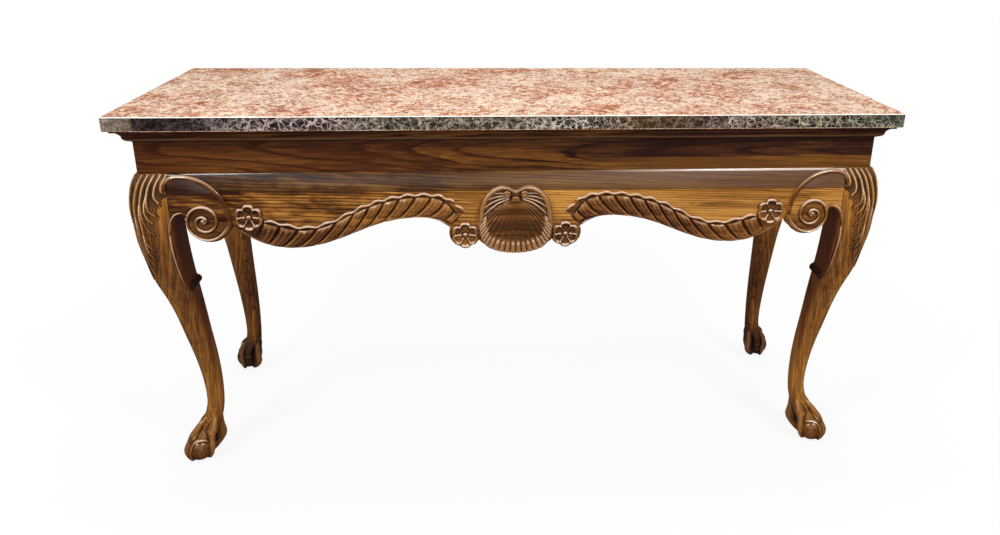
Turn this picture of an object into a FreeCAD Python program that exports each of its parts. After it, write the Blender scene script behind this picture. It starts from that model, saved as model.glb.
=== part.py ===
import FreeCAD, Part
import math
import os
import Sketcher
from FreeCAD import Placement, Rotation, Vector

# Pier table: a marble slab on an oak frame with carved aprons and four cabriole legs.
# Millimetres, +Z up, origin on the floor under the middle of the slab, front towards -Y.

os.makedirs("parts", exist_ok=True)
doc = FreeCAD.newDocument("pier_table")
sheet = doc.addObject("Spreadsheet::Sheet", "sizes")

driving = [
    ("slabLength", 1650, "marble slab along X"),
    ("slabDepth", 540, "marble slab along Y"),
    ("slabThick", 30, "marble slab"),
    ("slabCorner", 3, "slab corner radius in plan"),
    ("slabArris", 1.5, "chamfer on the slab's edges"),
    ("tableHeight", 860, "floor to slab face"),
    ("overhang", 40, "slab beyond the frieze, front and ends"),
    ("backOverhang", 23, "slab beyond the back boards"),
    ("corniceHigh", 30, "cornice moulding"),
    ("corniceReach", 30.5, "cornice beyond the frieze"),
    ("friezeHigh", 70, "frieze board"),
    ("boardThick", 20, "frieze and back boards"),
    ("apronThick", 28, "apron boards"),
    ("apronReach", 16, "apron face beyond the frieze"),
    ("kneeReach", 20.5, "knee and bracket face beyond the frieze"),
    ("legInner", 62, "inner faces of the leg head, from the frieze face"),
    ("ballRadius", 30, "ball of the foot"),
    ("ballInset", 32, "ball centre inside the frieze faces"),
    ("glideHigh", 2, "glide under the ball"),
    ("glideRadius", 10, "glide under the ball"),
    ("battenWide", 60, "cross batten"),
    ("battenHigh", 25, "cross batten"),
    ("battenPitch", 430, "spacing of the battens"),
    ("padRadius", 12, "cushion under the slab"),
    ("padThick", 1.5, "cushion under the slab"),
    ("blockLeg", 70, "corner block, along each board"),
    ("screwRadius", 2.2, "wood screw shank"),
    ("screwHead", 4.2, "wood screw head"),
    ("bracketWide", 126, "knee bracket along the apron"),
    ("shoulderDrop", 40, "rounded shoulder of aprons and brackets, height"),
    ("shoulderBack", 13.5, "rounded shoulder of aprons and brackets, depth"),
    ("backApronHigh", 80, "plain apron at the back"),
    ("rosetteRadius", 31, "rosette"),
    ("shellHalf", 79.5, "half width of the shell"),
    ("shellProud", 16, "rim of the shell beyond the apron face"),
    ("scrollRadius", 10.5, "roll across the inner face of a leg"),
    ("scrollHeight", 462, "floor to the middle of that roll"),
]
for row, (alias, value, note) in enumerate(driving, start=1):
    sheet.set("A%d" % row, note)
    sheet.set("B%d" % row, str(value))
    sheet.setAlias("B%d" % row, alias)
doc.recompute()


def size(alias):
    return float(sheet.get(alias))


halfLength = size("slabLength") / 2 - size("overhang")
frontFace = -size("slabDepth") / 2 + size("overhang")
backFace = size("slabDepth") / 2 - size("backOverhang")
slabBottom = size("tableHeight") - size("slabThick")
corniceBottom = slabBottom - size("corniceHigh")
kneeTop = corniceBottom - size("friezeHigh")
legInner = size("legInner")
apronReach = size("apronReach")
kneeReach = size("kneeReach")
halfApron = halfLength - legInner
notch = (597, -113)
upperRosette = (563.5, -94)
lowerRosette = (109, -140.5)

subParts = []


def keep(item, label):
    item.Label = label
    subParts.append(item)
    return item


def vec(*xyz):
    return Vector(*xyz)


# ---------------------------------------------------------------- helpers for bodies

def originPlane(body, role):
    return next(f for f in body.Origin.OriginFeatures if f.Role == role)


def newBody(name):
    return doc.addObject("PartDesign::Body", name)


def sketchOn(body, role, name, curves):
    sketch = body.newObject("Sketcher::SketchObject", name)
    sketch.AttachmentSupport = [(originPlane(body, role), "")]
    sketch.MapMode = "FlatFace"
    for curve in curves:
        index = sketch.addGeometry(curve, False)
        sketch.addConstraint(Sketcher.Constraint("Block", index))
    return sketch


def smoothCurve(points):
    curve = Part.BSplineCurve()
    curve.interpolate([vec(x, y, 0) for x, y in points])
    return curve


def alongCurve(curve, share):
    return curve.value(curve.parameterAtDistance(curve.length() * share))


def arcsAlong(points):
    """Run of arcs on the smooth curve through the points, one arc to each point."""
    curve = smoothCurve(points)
    count = len(points)
    spots = [alongCurve(curve, step / (2 * count)) for step in range(2 * count + 1)]
    return [Part.ArcOfCircle(*spots[at:at + 3]) for at in range(0, 2 * count, 2)]


def drawn(strokes, side=1, shift=0):
    """Curves of an outline made of ("line", "arc" or "smooth", points...); side -1 mirrors it."""
    curves = []
    for kind, *points in strokes:
        points = [(side * (x + shift), y) for x, y in points]
        if kind == "smooth":
            curves += arcsAlong(points)
        elif kind == "arc":
            curves.append(Part.ArcOfCircle(*[vec(x, y, 0) for x, y in points]))
        else:
            spots = [vec(x, y, 0) for x, y in points]
            curves += [Part.LineSegment(a, b) for a, b in zip(spots, spots[1:])]
    return curves


def closed(points):
    return ("line", *points, points[0])


def padOf(body, sketch, name, length):
    pad = body.newObject("PartDesign::Pad", name)
    pad.Profile = sketch
    pad.SideType = "Symmetric"
    pad.setExpression("Length", length)
    return pad


def cutThrough(body, sketch, name):
    doc.recompute()
    before = body.Shape.Volume
    cut = body.newObject("PartDesign::Pocket", name)
    cut.Profile = sketch
    cut.Type = "Length"
    cut.SideType = "Symmetric"
    cut.setExpression("Length", "4 * sizes.slabLength")
    doc.recompute()
    if body.Shape.Volume > before - 1:
        raise ValueError(name + " cuts nothing")
    return cut


def mirrored(source, label, base, normal):
    twin = doc.addObject("Part::Mirroring", label)
    twin.Source = source
    twin.Base = base
    twin.Normal = normal
    return keep(twin, label)


def solidPart(label, shape):
    item = doc.addObject("Part::Feature", label)
    item.Shape = shape
    return keep(item, label)


def boxPart(label, length, width, height, position):
    box = doc.addObject("Part::Box", label)
    box.setExpression("Length", length)
    box.setExpression("Width", width)
    box.setExpression("Height", height)
    for axis, formula in zip("xyz", position):
        box.setExpression("Placement.Base." + axis, formula)
    return keep(box, label)


acrossMiddle = (vec(0, 0, 0), vec(1, 0, 0))
frontToBack = (vec(0, (frontFace + backFace) / 2, 0), vec(0, 1, 0))


# ---------------------------------------------------------------- marble slab

def marbleTop():
    body = newBody("marble_top")
    sketch = body.newObject("Sketcher::SketchObject", "slabPlan")
    sketch.AttachmentSupport = [(originPlane(body, "XY_Plane"), "")]
    sketch.MapMode = "FlatFace"
    halfX, halfY = size("slabLength") / 2, size("slabDepth") / 2
    corners = [(-halfX, -halfY), (halfX, -halfY), (halfX, halfY), (-halfX, halfY)]
    for line in drawn([closed(corners)]):
        sketch.addGeometry(line, False)
    for side in range(4):
        sketch.addConstraint(Sketcher.Constraint("Coincident", side, 2, (side + 1) % 4, 1))
        kind = "Vertical" if side % 2 else "Horizontal"
        sketch.addConstraint(Sketcher.Constraint(kind, side))
    sketch.addConstraint(Sketcher.Constraint("Symmetric", 0, 1, 2, 1, -1, 1))
    across = sketch.addConstraint(Sketcher.Constraint("DistanceX", 0, 1, 0, 2, 2 * halfX))
    deep = sketch.addConstraint(Sketcher.Constraint("DistanceY", 1, 1, 1, 2, 2 * halfY))
    sketch.setExpression("Constraints[%d]" % across, "sizes.slabLength")
    sketch.setExpression("Constraints[%d]" % deep, "sizes.slabDepth")
    pad = body.newObject("PartDesign::Pad", "slabPad")
    pad.Profile = sketch
    pad.setExpression("Length", "sizes.slabThick")
    doc.recompute()
    upright = [
        "Edge%d" % n for n, edge in enumerate(pad.Shape.Edges, start=1)
        if abs(edge.tangentAt(edge.FirstParameter).z) > 0.9
    ]
    corner = body.newObject("PartDesign::Fillet", "slabCorners")
    corner.Base = (pad, upright)
    corner.setExpression("Radius", "sizes.slabCorner")
    doc.recompute()
    flat = [
        "Face%d" % n for n, face in enumerate(corner.Shape.Faces, start=1)
        if abs(face.normalAt(0, 0).z) > 0.9
    ]
    arris = body.newObject("PartDesign::Chamfer", "slabArrises")
    arris.Base = (corner, flat)
    arris.setExpression("Size", "sizes.slabArris")
    body.setExpression("Placement.Base.z", "sizes.tableHeight - sizes.slabThick")
    return keep(body, "marble_top")


# ---------------------------------------------------------------- frieze and cornice

def corniceSection():
    """Section of the cornice: fillet, cove, step and quarter round; -Y is outwards."""
    reach = size("corniceReach")
    high = size("corniceHigh")
    inner = size("boardThick")
    filletFoot = (-reach, high - 5)
    coveTop = (-0.82 * reach, high - 6)
    coveMiddle = (-0.68 * reach, high - 8.5)
    coveFoot = (-0.55 * reach, high - 13)
    roundTop = (-0.49 * reach, high - 15)
    roundMiddle = (-0.38 * reach, 5.5)
    roundFoot = (-3, 1.5)
    return [
        ("line", (inner, 0), (inner, high), (-reach, high), filletFoot, coveTop),
        ("arc", coveTop, coveMiddle, coveFoot),
        ("line", coveFoot, roundTop),
        ("arc", roundTop, roundMiddle, roundFoot),
        ("line", roundFoot, (roundFoot[0], 0), (inner, 0)),
    ]


def friezeSection():
    inner = size("boardThick")
    high = size("friezeHigh")
    return [closed([(0, 0), (0, high), (inner, high), (inner, 0)])]


sawBeyond = 5


def mitreWaste(corner, tip):
    """Plan of the waste beyond a 45 degree cut whose line crosses the frieze face at x = corner."""
    inner = size("boardThick") + sawBeyond
    outer = tip + sawBeyond
    far = size("slabLength")
    return [(corner + outer, -outer), (far, -outer), (far, inner), (corner - inner, inner)]


def frontMoulding(label, section, tip, height):
    """Moulding across the front, mitred at both ends."""
    body = newBody(label)
    across = sketchOn(body, "YZ_Plane", label + "_section", drawn(section))
    padOf(body, across, label + "_run", "sizes.slabLength + 2 * sizes.overhang")
    right = mitreWaste(halfLength, tip)
    waste = drawn([closed(right)]) + drawn([closed(right)], -1)
    ends = sketchOn(body, "XY_Plane", label + "_ends", waste)
    cutThrough(body, ends, label + "_saw")
    body.Placement = Placement(vec(0, frontFace, height), Rotation())
    return keep(body, label)


def leftMoulding(label, section, tip, height):
    """Return along the left side: mitred at the front, square where it meets the back board."""
    body = newBody(label)
    across = sketchOn(body, "YZ_Plane", label + "_section", drawn(section))
    padOf(body, across, label + "_run", "3 * sizes.slabDepth")
    run = backFace - size("boardThick") - frontFace
    inner, far = size("boardThick") + sawBeyond, size("slabLength")
    outer = tip + sawBeyond
    square = [(-run, -outer), (-far, -outer), (-far, inner), (-run, inner)]
    waste = drawn([closed(mitreWaste(0, tip)), closed(square)])
    ends = sketchOn(body, "XY_Plane", label + "_ends", waste)
    cutThrough(body, ends, label + "_saw")
    body.Placement = Placement(vec(-halfLength, frontFace, height), Rotation(vec(0, 0, 1), -90))
    return keep(body, label)


def friezeAndCornice():
    tip = size("corniceReach")
    frontMoulding("frieze_front", friezeSection(), 0, kneeTop)
    friezeLeft = leftMoulding("frieze_left", friezeSection(), 0, kneeTop)
    mirrored(friezeLeft, "frieze_right", *acrossMiddle)
    frontMoulding("cornice_front", corniceSection(), tip, corniceBottom)
    corniceLeft = leftMoulding("cornice_left", corniceSection(), tip, corniceBottom)
    mirrored(corniceLeft, "cornice_right", *acrossMiddle)
    boxPart(
        "frieze_back",
        "sizes.slabLength - 2 * sizes.overhang",
        "sizes.boardThick",
        "sizes.friezeHigh + sizes.corniceHigh",
        (
            "-sizes.slabLength / 2 + sizes.overhang",
            "sizes.slabDepth / 2 - sizes.backOverhang - sizes.boardThick",
            "sizes.tableHeight - sizes.slabThick - sizes.corniceHigh - sizes.friezeHigh",
        ),
    )


# ---------------------------------------------------------------- aprons and knee brackets
# Heights in this section are measured down from the underside of the frieze.

def bowedSection(reach, foot):
    """Section of an apron: rounded shoulder above an upright face; -Y is outwards."""
    inner = size("apronThick") - apronReach
    back, drop = size("shoulderBack"), size("shoulderDrop")
    shoulder = (back - reach, 0)
    swell = (0.51 * back - reach, -0.33 * drop)
    edge = (-reach, -drop)
    return [
        ("line", (-reach, foot), (inner, foot), (inner, 0), shoulder),
        ("arc", shoulder, swell, edge),
        ("line", edge, (-reach, foot)),
    ]


def bracketOutline(rim):
    """Knee bracket seen from outside, starting at the leg face (x = 0), rim above the top."""
    shoulder = (20, 0)
    rollFoot = (115, -128)
    rollEnd = (31.5, -99)
    archEnd = (0, -95)
    top = [(shoulder[0], rim), shoulder] if rim else [shoulder]
    return [
        ("smooth", shoulder, (70, -11), (101, -34), (118, -66), (123, -98), rollFoot),
        ("smooth", rollFoot, (98, -142), (78, -147), (56, -141), (39, -124), rollEnd),
        ("arc", rollEnd, (17, -83), archEnd),
        ("line", archEnd, (0, rim), *top),
    ]


def kneeBracket(name):
    """One bracket in its own frame: leg face at x = 0, frieze face at y = 0, top at z = 0."""
    body = newBody(name)
    section = sketchOn(body, "YZ_Plane", name + "Section", drawn(bowedSection(kneeReach, -160)))
    padOf(body, section, name + "Run", "sizes.bracketWide * 2 + 20")
    blank = closed([(-200, -200), (200, -200), (200, 40), (-200, 40)])
    outline = sketchOn(body, "XZ_Plane", name + "Outline", drawn([blank] + bracketOutline(0)))
    cutThrough(body, outline, name + "Saw")
    return body


def copiesOf(shape, label, spots):
    """Several identical pieces in one node: each spot is (position, turn, x mirrored or not)."""
    copies = []
    for position, turn, flip in spots:
        copy = shape.mirror(vec(0, 0, 0), vec(1, 0, 0)) if flip else shape.copy()
        copy.rotate(vec(0, 0, 0), vec(0, 0, 1), turn)
        copy.translate(position)
        copies.append(copy)
    return solidPart(label, Part.makeCompound(copies))


def serpentine():
    """Lower edge of the right half of the front apron, from the notch by the bracket inwards."""
    return [
        notch, (572, -133), (540, -152), (475, -164.5), (425, -159), (358, -137),
        (300, -114), (222, -99), (168, -106), (141, -123),
    ]


def frontWaste():
    """What the bandsaw takes from under the right half of the front apron."""
    rosetteX, rosetteZ = lowerRosette
    lobeEnd = (rosetteX - 18, rosetteZ - 23)
    neck = (80, -153)
    shellFoot = (0, -182)
    beyond = halfApron + sawBeyond
    return [
        ("smooth", *serpentine()),
        ("arc", serpentine()[-1], (rosetteX + 9, rosetteZ - 28), lobeEnd),
        ("line", lobeEnd, neck),
        ("arc", neck, (46, -176), shellFoot),
        ("line", shellFoot, (0, -230), (beyond, -230), (beyond, -75), (610, -75), notch),
    ]


def apronFront():
    body = newBody("apron_front")
    section = sketchOn(body, "YZ_Plane", "apronFrontSection", drawn(bowedSection(apronReach, -190)))
    padOf(body, section, "apronFrontRun", "sizes.slabLength - 2 * (sizes.overhang + sizes.legInner)")
    for side, name in ((1, "Right"), (-1, "Left")):
        waste = sketchOn(body, "XZ_Plane", "serpentine" + name, drawn(frontWaste(), side))
        cutThrough(body, waste, "bandsaw" + name)
        seat = sketchOn(body, "XZ_Plane", "bracketSeat" + name, drawn(bracketOutline(5), -side, -halfApron))
        cutThrough(body, seat, "scribe" + name)
    body.Placement = Placement(vec(0, frontFace, kneeTop), Rotation())
    return keep(body, "apron_front")


def apronLeft():
    body = newBody("apron_left")
    half = (backFace - frontFace) / 2 - legInner
    section = sketchOn(body, "YZ_Plane", "apronLeftSection", drawn(bowedSection(apronReach, -150)))
    between = "sizes.slabDepth - sizes.overhang - sizes.backOverhang - 2 * sizes.legInner"
    padOf(body, section, "apronLeftRun", between)
    inside = half - size("bracketWide")
    beyond = half + sawBeyond
    waste = [
        ("arc", (-inside, -113), (0, -100), (inside, -113)),
        ("line", (inside, -113), (inside + 12, -75), (beyond, -75), (beyond, -180), (-beyond, -180),
         (-beyond, -75), (-inside - 12, -75), (-inside, -113)),
    ]
    cutThrough(body, sketchOn(body, "XZ_Plane", "apronLeftArch", drawn(waste)), "archSaw")
    for side, name in ((1, "Near"), (-1, "Far")):
        seat = sketchOn(body, "XZ_Plane", "sideSeat" + name, drawn(bracketOutline(5), side, -half))
        cutThrough(body, seat, "sideScribe" + name)
    spot = vec(-halfLength, (frontFace + backFace) / 2, kneeTop)
    body.Placement = Placement(spot, Rotation(vec(0, 0, 1), -90))
    return keep(body, "apron_left")


def apronsAndBrackets():
    apronFront()
    mirrored(apronLeft(), "apron_right", *acrossMiddle)
    boxPart(
        "apron_back",
        "sizes.slabLength - 2 * (sizes.overhang + sizes.legInner)",
        "sizes.boardThick",
        "sizes.backApronHigh",
        (
            "-sizes.slabLength / 2 + sizes.overhang + sizes.legInner",
            "sizes.slabDepth / 2 - sizes.backOverhang - sizes.boardThick",
            "sizes.tableHeight - sizes.slabThick - sizes.corniceHigh"
            " - sizes.friezeHigh - sizes.backApronHigh",
        ),
    )
    bracket = kneeBracket("kneeBracket")
    doc.recompute()
    shape = bracket.Shape
    copiesOf(shape, "knee_brackets_front", [
        (vec(-halfApron, frontFace, kneeTop), 0, False), (vec(halfApron, frontFace, kneeTop), 0, True),
    ])
    near, far = frontFace + legInner, backFace - legInner
    copiesOf(shape, "knee_brackets_side", [
        (vec(-halfLength, far, kneeTop), -90, False), (vec(-halfLength, near, kneeTop), -90, True),
        (vec(halfLength, near, kneeTop), 90, False), (vec(halfLength, far, kneeTop), 90, True),
    ])
    doc.removeObject(bracket.Name)


# ---------------------------------------------------------------- legs

def roundedSquare(height, outer, inner, roundness):
    """Horizontal ring round a leg: outer and inner are reaches from the frieze faces."""
    half = (outer + inner) / 2
    centre = (inner - outer) / 2
    radius = roundness * half
    flat = half - radius
    cornerPoints = 5
    ring = []
    for quarter in range(4):
        for step in range(cornerPoints):
            turn = math.pi / 2 * (quarter + step / (cornerPoints - 1))
            middle = math.pi / 2 * (quarter + 0.5)
            x = centre + flat * math.sqrt(2) * math.cos(middle) + radius * math.cos(turn)
            y = centre + flat * math.sqrt(2) * math.sin(middle) + radius * math.sin(turn)
            ring.append(vec(x, y, height))
    return ring


def smoothed(sections, count):
    """Evenly spread sections on the smooth run through a few given ones."""
    reaches = Part.BSplineCurve()
    reaches.interpolate([vec(outer, inner, height) for height, outer, inner, roundness in sections])
    shares = Part.BSplineCurve()
    shares.interpolate([vec(0, 100 * roundness, height) for height, outer, inner, roundness in sections])
    result = []
    for step in range(count):
        spot = alongCurve(reaches, step / (count - 1))
        level = Part.Plane(vec(0, 0, spot.z), vec(0, 0, 1))
        roundness = shares.intersect(level)[0][0].Y / 100
        result.append((spot.z, spot.x, spot.y, roundness))
    return result


def triangle(*corners):
    return Part.Face(Part.makePolygon([*corners, corners[0]]))


def relief(rings, crown=None):
    """Faceted solid on rings of points: flat over the first, flat or with a crown point over the last."""
    faces = [Part.Face(Part.makePolygon(rings[0] + rings[0][:1]))]
    count = len(rings[0])
    for low, high in zip(rings, rings[1:]):
        for index in range(count):
            after = (index + 1) % count
            faces.append(triangle(low[index], low[after], high[index]))
            faces.append(triangle(high[index], low[after], high[after]))
    top = rings[-1]
    if crown is None:
        faces.append(Part.Face(Part.makePolygon(top + top[:1])))
    else:
        faces += [triangle(top[index], top[(index + 1) % count], crown) for index in range(count)]
    return Part.Solid(Part.makeShell(faces))


def limb(spots, radii, sides, sunk=None):
    """Faceted round limb: rings of points square to the run of the spots, no deeper than y = sunk."""
    rings = []
    for index, (spot, radius) in enumerate(zip(spots, radii)):
        run = spots[min(index + 1, len(spots) - 1)] - spots[max(index - 1, 0)]
        across = vec(0, 1, 0) if abs(run.y) < 0.9 * run.Length else vec(1, 0, 0)
        first = run.cross(across).normalize() * radius
        second = run.cross(first).normalize() * radius
        turns = [2 * math.pi * step / sides for step in range(sides)]
        ring = [spot + first * math.cos(turn) + second * math.sin(turn) for turn in turns]
        if sunk is not None:
            ring = [vec(point.x, min(point.y, sunk), point.z) for point in ring]
        rings.append(ring)
    return relief(rings)


def toe(bearing, runs):
    """Toe from the ankle to the claw: (ahead along the diagonal, sideways, height, radius)."""
    centre = size("ballInset")
    spots = []
    for ahead, aside, height, radius in runs:
        outward = Rotation(vec(0, 0, 1), 225).multVec(vec(ahead, aside * bearing, height))
        spots.append(outward + vec(centre, centre, 0))
    return limb(spots, [radius for ahead, aside, height, radius in runs], 8)


def ballShape():
    """Ball of the foot, cut flat where it stands on its glide."""
    inset = size("ballInset")
    radius = size("ballRadius")
    bands = 9
    levels = [size("glideHigh")]
    levels += [radius * (1 - math.cos(math.pi * step / bands)) for step in range(2, bands)]
    waists = [math.sqrt(radius ** 2 - (level - radius) ** 2) for level in levels]
    return limb([vec(inset, inset, level) for level in levels], waists, 16)


def legShape():
    """Leg whose head corner stands at the origin, pointing to -X and -Y."""
    head = [
        (kneeTop, 5, legInner, 0.14), (kneeTop - 18, 12.5, legInner, 0.16),
        (kneeTop - 40, 17, legInner, 0.18), (kneeTop - 72, 20, legInner, 0.2),
        (kneeTop - 105, 18.3, legInner, 0.22), (kneeTop - 145, 16, legInner + 0.5, 0.24),
        (kneeTop - 190, 10.3, legInner + 2.5, 0.28),
    ]
    shin = [
        (490, 3, 68, 0.34), (440, -9.8, 72.5, 0.42), (385, -21.7, 77.5, 0.55), (330, -30.5, 82, 0.68),
        (270, -40.2, 87, 0.8), (210, -47.4, 90, 0.92), (155, -50.5, 89.5, 0.98), (125, -48.5, 87.5, 0.98),
    ]
    foot = [
        (100, -41, 83.5, 0.98), (80, -30.5, 77.5, 0.98), (62, -18.5, 70.5, 0.98), (45, -10.5, 64.5, 0.98),
    ]
    rings = [roundedSquare(*section) for section in smoothed(head + shin + foot, 18)]
    leg = relief(rings)
    postIn = 20.3
    side = legInner - postIn
    post = Part.makeBox(side, side, size("friezeHigh"), vec(postIn, postIn, kneeTop))
    pieces = [post, ballShape()]
    pieces.append(toe(1, [
        (-34, 0, 112, 4), (-9, 0, 89, 6.8), (14, 0, 68, 7.6), (23, 0, 55, 7), (29, 0, 43, 7.4),
        (31, 0, 29, 6.2), (26, 0, 9, 3),
    ]))
    sideToe = [
        (-45, 8, 113, 4), (-32, 20.5, 89, 6.8), (-20, 27, 66, 7.6), (-17.5, 27.5, 53, 6.9),
        (-16.5, 28, 41, 7.2), (-16, 26.5, 28, 6), (-13, 22, 9, 3),
    ]
    pieces += [toe(1, sideToe), toe(-1, sideToe)]
    pieces.append(toe(1, [
        (-52, 0, 116, 4), (-57.5, 0, 82, 7.2), (-58, 0, 66, 7.6), (-60, 0, 46, 8.4), (-54.5, 0, 30, 7.4),
        (-41, 0, 16, 5.4), (-29, 0, 6, 3),
    ]))
    scroll = size("scrollRadius")
    scrollIn = 70.5
    scrollStart = 12
    for first, along in (
        (vec(scrollIn, scrollStart, size("scrollHeight")), vec(0, 1, 0)),
        (vec(scrollStart, scrollIn, size("scrollHeight")), vec(1, 0, 0)),
    ):
        pieces.append(limb([first, first + along * (legInner - scrollStart)], [scroll] * 2, 12))
    leg = leg.multiFuse(pieces).removeSplitter()
    return leg.cut(screwHole())


screwRoom = 0.1


def screwSpot():
    """Middle of the corner block's long face, in the frame of a leg's head corner."""
    across = legInner + size("blockLeg")
    return vec(across / 2, across / 2, kneeTop + size("friezeHigh") / 2)


def screwShape(spot, shank, head):
    """Round-headed screw driven outwards along the diagonal, its head on the block's face."""
    outward = vec(-1, -1, 0).normalize()
    drive = 45
    cap = 2.5
    screw = limb([spot, spot + outward * drive], [shank] * 2, 8)
    return screw.fuse(limb([spot - outward * cap, spot], [head] * 2, 12)).removeSplitter()


def screwHole():
    return screwShape(screwSpot(), size("screwRadius") + screwRoom, size("screwHead") + screwRoom)


def blockShape():
    """Corner block between the two frieze boards and the inner faces of the leg's post."""
    board = size("boardThick")
    tip = size("blockLeg") + legInner - board
    margin = 10
    plan = [
        (board, legInner), (legInner, legInner), (legInner, board),
        (tip + board, board), (board, tip + board),
    ]
    spots = [vec(x, y, kneeTop + margin) for x, y in plan]
    tall = size("friezeHigh") - 2 * margin
    block = Part.Face(Part.makePolygon(spots + spots[:1])).extrude(vec(0, 0, tall))
    return block.cut(screwHole())


def fourCorners(label, shape, names):
    """The same piece at each leg: one solid and its three mirror images."""
    first = solidPart(label % names[0], shape)
    first.Placement = Placement(vec(-halfLength, frontFace, 0), Rotation())
    mirrored(first, label % names[1], *acrossMiddle)
    rear = mirrored(first, label % names[2], *frontToBack)
    mirrored(rear, label % names[3], *acrossMiddle)


cornerNames = ("front_left", "front_right", "back_left", "back_right")


# ---------------------------------------------------------------- carving

def faceOn(x, drop, proud):
    """Point on the front apron, drop below the frieze, proud of the apron face."""
    return vec(x, frontFace - apronReach - proud, kneeTop + drop)


def rosetteShape(centre):
    """Flower of six cupped petals round a button."""
    radius = size("rosetteRadius")
    points = 30
    buttonTop = 10.5
    rings = []
    for reach, dip, proud in ((1, 0.16, 0), (1, 0.16, 5), (0.84, 0.1, 8.5), (0.5, 0.03, 5), (0.22, 0, 5)):
        ring = []
        for step in range(points):
            angle = 2 * math.pi * step / points
            valley = abs(math.sin(3 * (angle - math.pi / 2))) ** 3
            away = radius * (reach - dip * valley)
            lift = proud * (1 - 0.45 * valley * (reach > 0.3))
            x, drop = centre[0] + away * math.cos(angle), centre[1] + away * math.sin(angle)
            ring.append(faceOn(x, drop, lift))
        rings.append(ring)
    return relief(rings, faceOn(*centre, buttonTop))


def beadLine():
    """Wavy bead above the gadroons, from the upper rosette to the lower one (right half)."""
    return [
        (540, -104), (508, -108), (458, -119), (400, -110), (330, -76), (250, -52), (190, -48),
        (145, -58), (110, -91),
    ]


def onFace(shape, proud):
    """Shape drawn flat in X and drop, stood up against the front apron."""
    shape.rotate(vec(0, 0, 0), vec(1, 0, 0), 90)
    shape.translate(faceOn(0, 0, proud))
    return shape


def crossing(curve, x):
    """Where a border curve passes the given distance from the middle of the table."""
    found = curve.intersect(Part.Plane(vec(x, 0, 0), vec(1, 0, 0)))[0][0]
    return found.X, found.Y


def gadroonBorder():
    """Right-hand border: a thin ground under slanted swelling lobes, with a round bead above."""
    tails = (515, 486, 450, 410, 370, 336, 302, 269, 236, 203, 173, 148)
    tips = (483, 444, 404, 361, 328, 295, 264, 231, 195, 163, 137, 119)
    ends = (545, -150)
    low = [ends] + [(x, z) for x, z in serpentine() if x < ends[0]]
    high = beadLine()
    lowCurve, highCurve = smoothCurve(low), smoothCurve(high)
    outline = drawn([("smooth", *low), ("line", low[-1], high[-1])])
    outline += drawn([("smooth", *high), ("line", high[0], low[0])])
    edges = Part.sortEdges([curve.toShape() for curve in outline])[0]
    groundThick = 2.5
    ground = onFace(Part.Face(Part.Wire(edges)), 0).extrude(vec(0, -groundThick, 0))
    beadRadius = 3.5
    beadSteps = 18
    beadSpots = []
    for step in range(beadSteps + 1):
        spot = alongCurve(highCurve, step / beadSteps)
        beadSpots.append(faceOn(spot.x, spot.y, groundThick))
    sunk = faceOn(0, 0, groundThick - 1).y
    bead = limb(beadSpots, [beadRadius] * len(beadSpots), 8, sunk)
    lobes = []
    for tail, tip in zip(tails, tips):
        start = faceOn(*crossing(lowCurve, tail), groundThick)
        end = faceOn(*crossing(highCurve, tip), groundThick)
        spots = [start + (end - start) * place for place in (0.1, 0.45, 0.75, 0.93)]
        lobes.append(limb(spots, [2.5, 7, 9, 5], 8, sunk))
    return ground.fuse(bead).multiFuse(lobes)


def shellShape():
    """Scallop: flutes fanning from a hinge across a dish to a raised, rolled rim."""
    half = size("shellHalf")
    rim = [
        (0, -34), (22, -28), (42, -30), (61, -44), (74, -66), (half, -92), (half, -118),
        (half - 4, -143), (64, -164), (44, -174.5), (22, -179.5), (0, -181),
    ]
    loop = [vec(x, y, 0) for x, y in rim[:-1]] + [vec(-x, y, 0) for x, y in rim[:0:-1]]
    outline = Part.BSplineCurve()
    outline.interpolate(loop, PeriodicFlag=True)
    hinge = vec(0, -58, 0)
    proud = size("shellProud")
    flutes = 26
    points = 2 * flutes
    rings = []
    for share, lift, flute in (
        (1, 0, 0), (1, proud - 4, 0), (0.94, proud, 0), (0.86, proud - 4, 0),
        (0.8, proud - 9, 1.6), (0.45, proud - 11, 1.4), (0.12, proud - 10, 0.6),
    ):
        ring = []
        for step in range(points):
            edge = outline.value(outline.parameterAtDistance(outline.length() * step / points))
            spot = hinge + (edge - hinge) * share
            ring.append(faceOn(spot.x, spot.y, lift + (flute if step % 2 else -flute)))
        rings.append(ring)
    return relief(rings, faceOn(hinge.x, hinge.y, proud - 8))


def carving():
    flowers = []
    for x, drop in (upperRosette, lowerRosette):
        flowers += [rosetteShape((x, drop)), rosetteShape((-x, drop))]
    solidPart("rosettes", Part.makeCompound(flowers))
    border = solidPart("gadroon_border_right", gadroonBorder())
    mirrored(border, "gadroon_border_left", *acrossMiddle)
    solidPart("shell_carving", shellShape())


# ---------------------------------------------------------------- what carries the slab

def battens():
    for step, name in ((-1, "left"), (0, "middle"), (1, "right")):
        boxPart(
            "batten_" + name,
            "sizes.battenWide",
            "sizes.slabDepth - sizes.overhang - sizes.backOverhang - 2 * sizes.boardThick",
            "sizes.battenHigh",
            (
                "%d * sizes.battenPitch - sizes.battenWide / 2" % step,
                "-sizes.slabDepth / 2 + sizes.overhang + sizes.boardThick",
                "sizes.tableHeight - sizes.slabThick - sizes.padThick - sizes.battenHigh",
            ),
        )


def slabPads():
    """Two cushions on each batten."""
    side = 2 * size("padRadius")
    apart = 300
    middle = (frontFace + backFace) / 2
    bottom = slabBottom - size("padThick")
    cushions = []
    for step in (-1, 0, 1):
        for reach in (-0.5, 0.5):
            spot = vec(step * size("battenPitch") - side / 2, middle + reach * apart - side / 2, bottom)
            cushions.append(Part.makeBox(side, side, size("padThick"), spot))
    return solidPart("slab_pads", Part.makeCompound(cushions))


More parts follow.
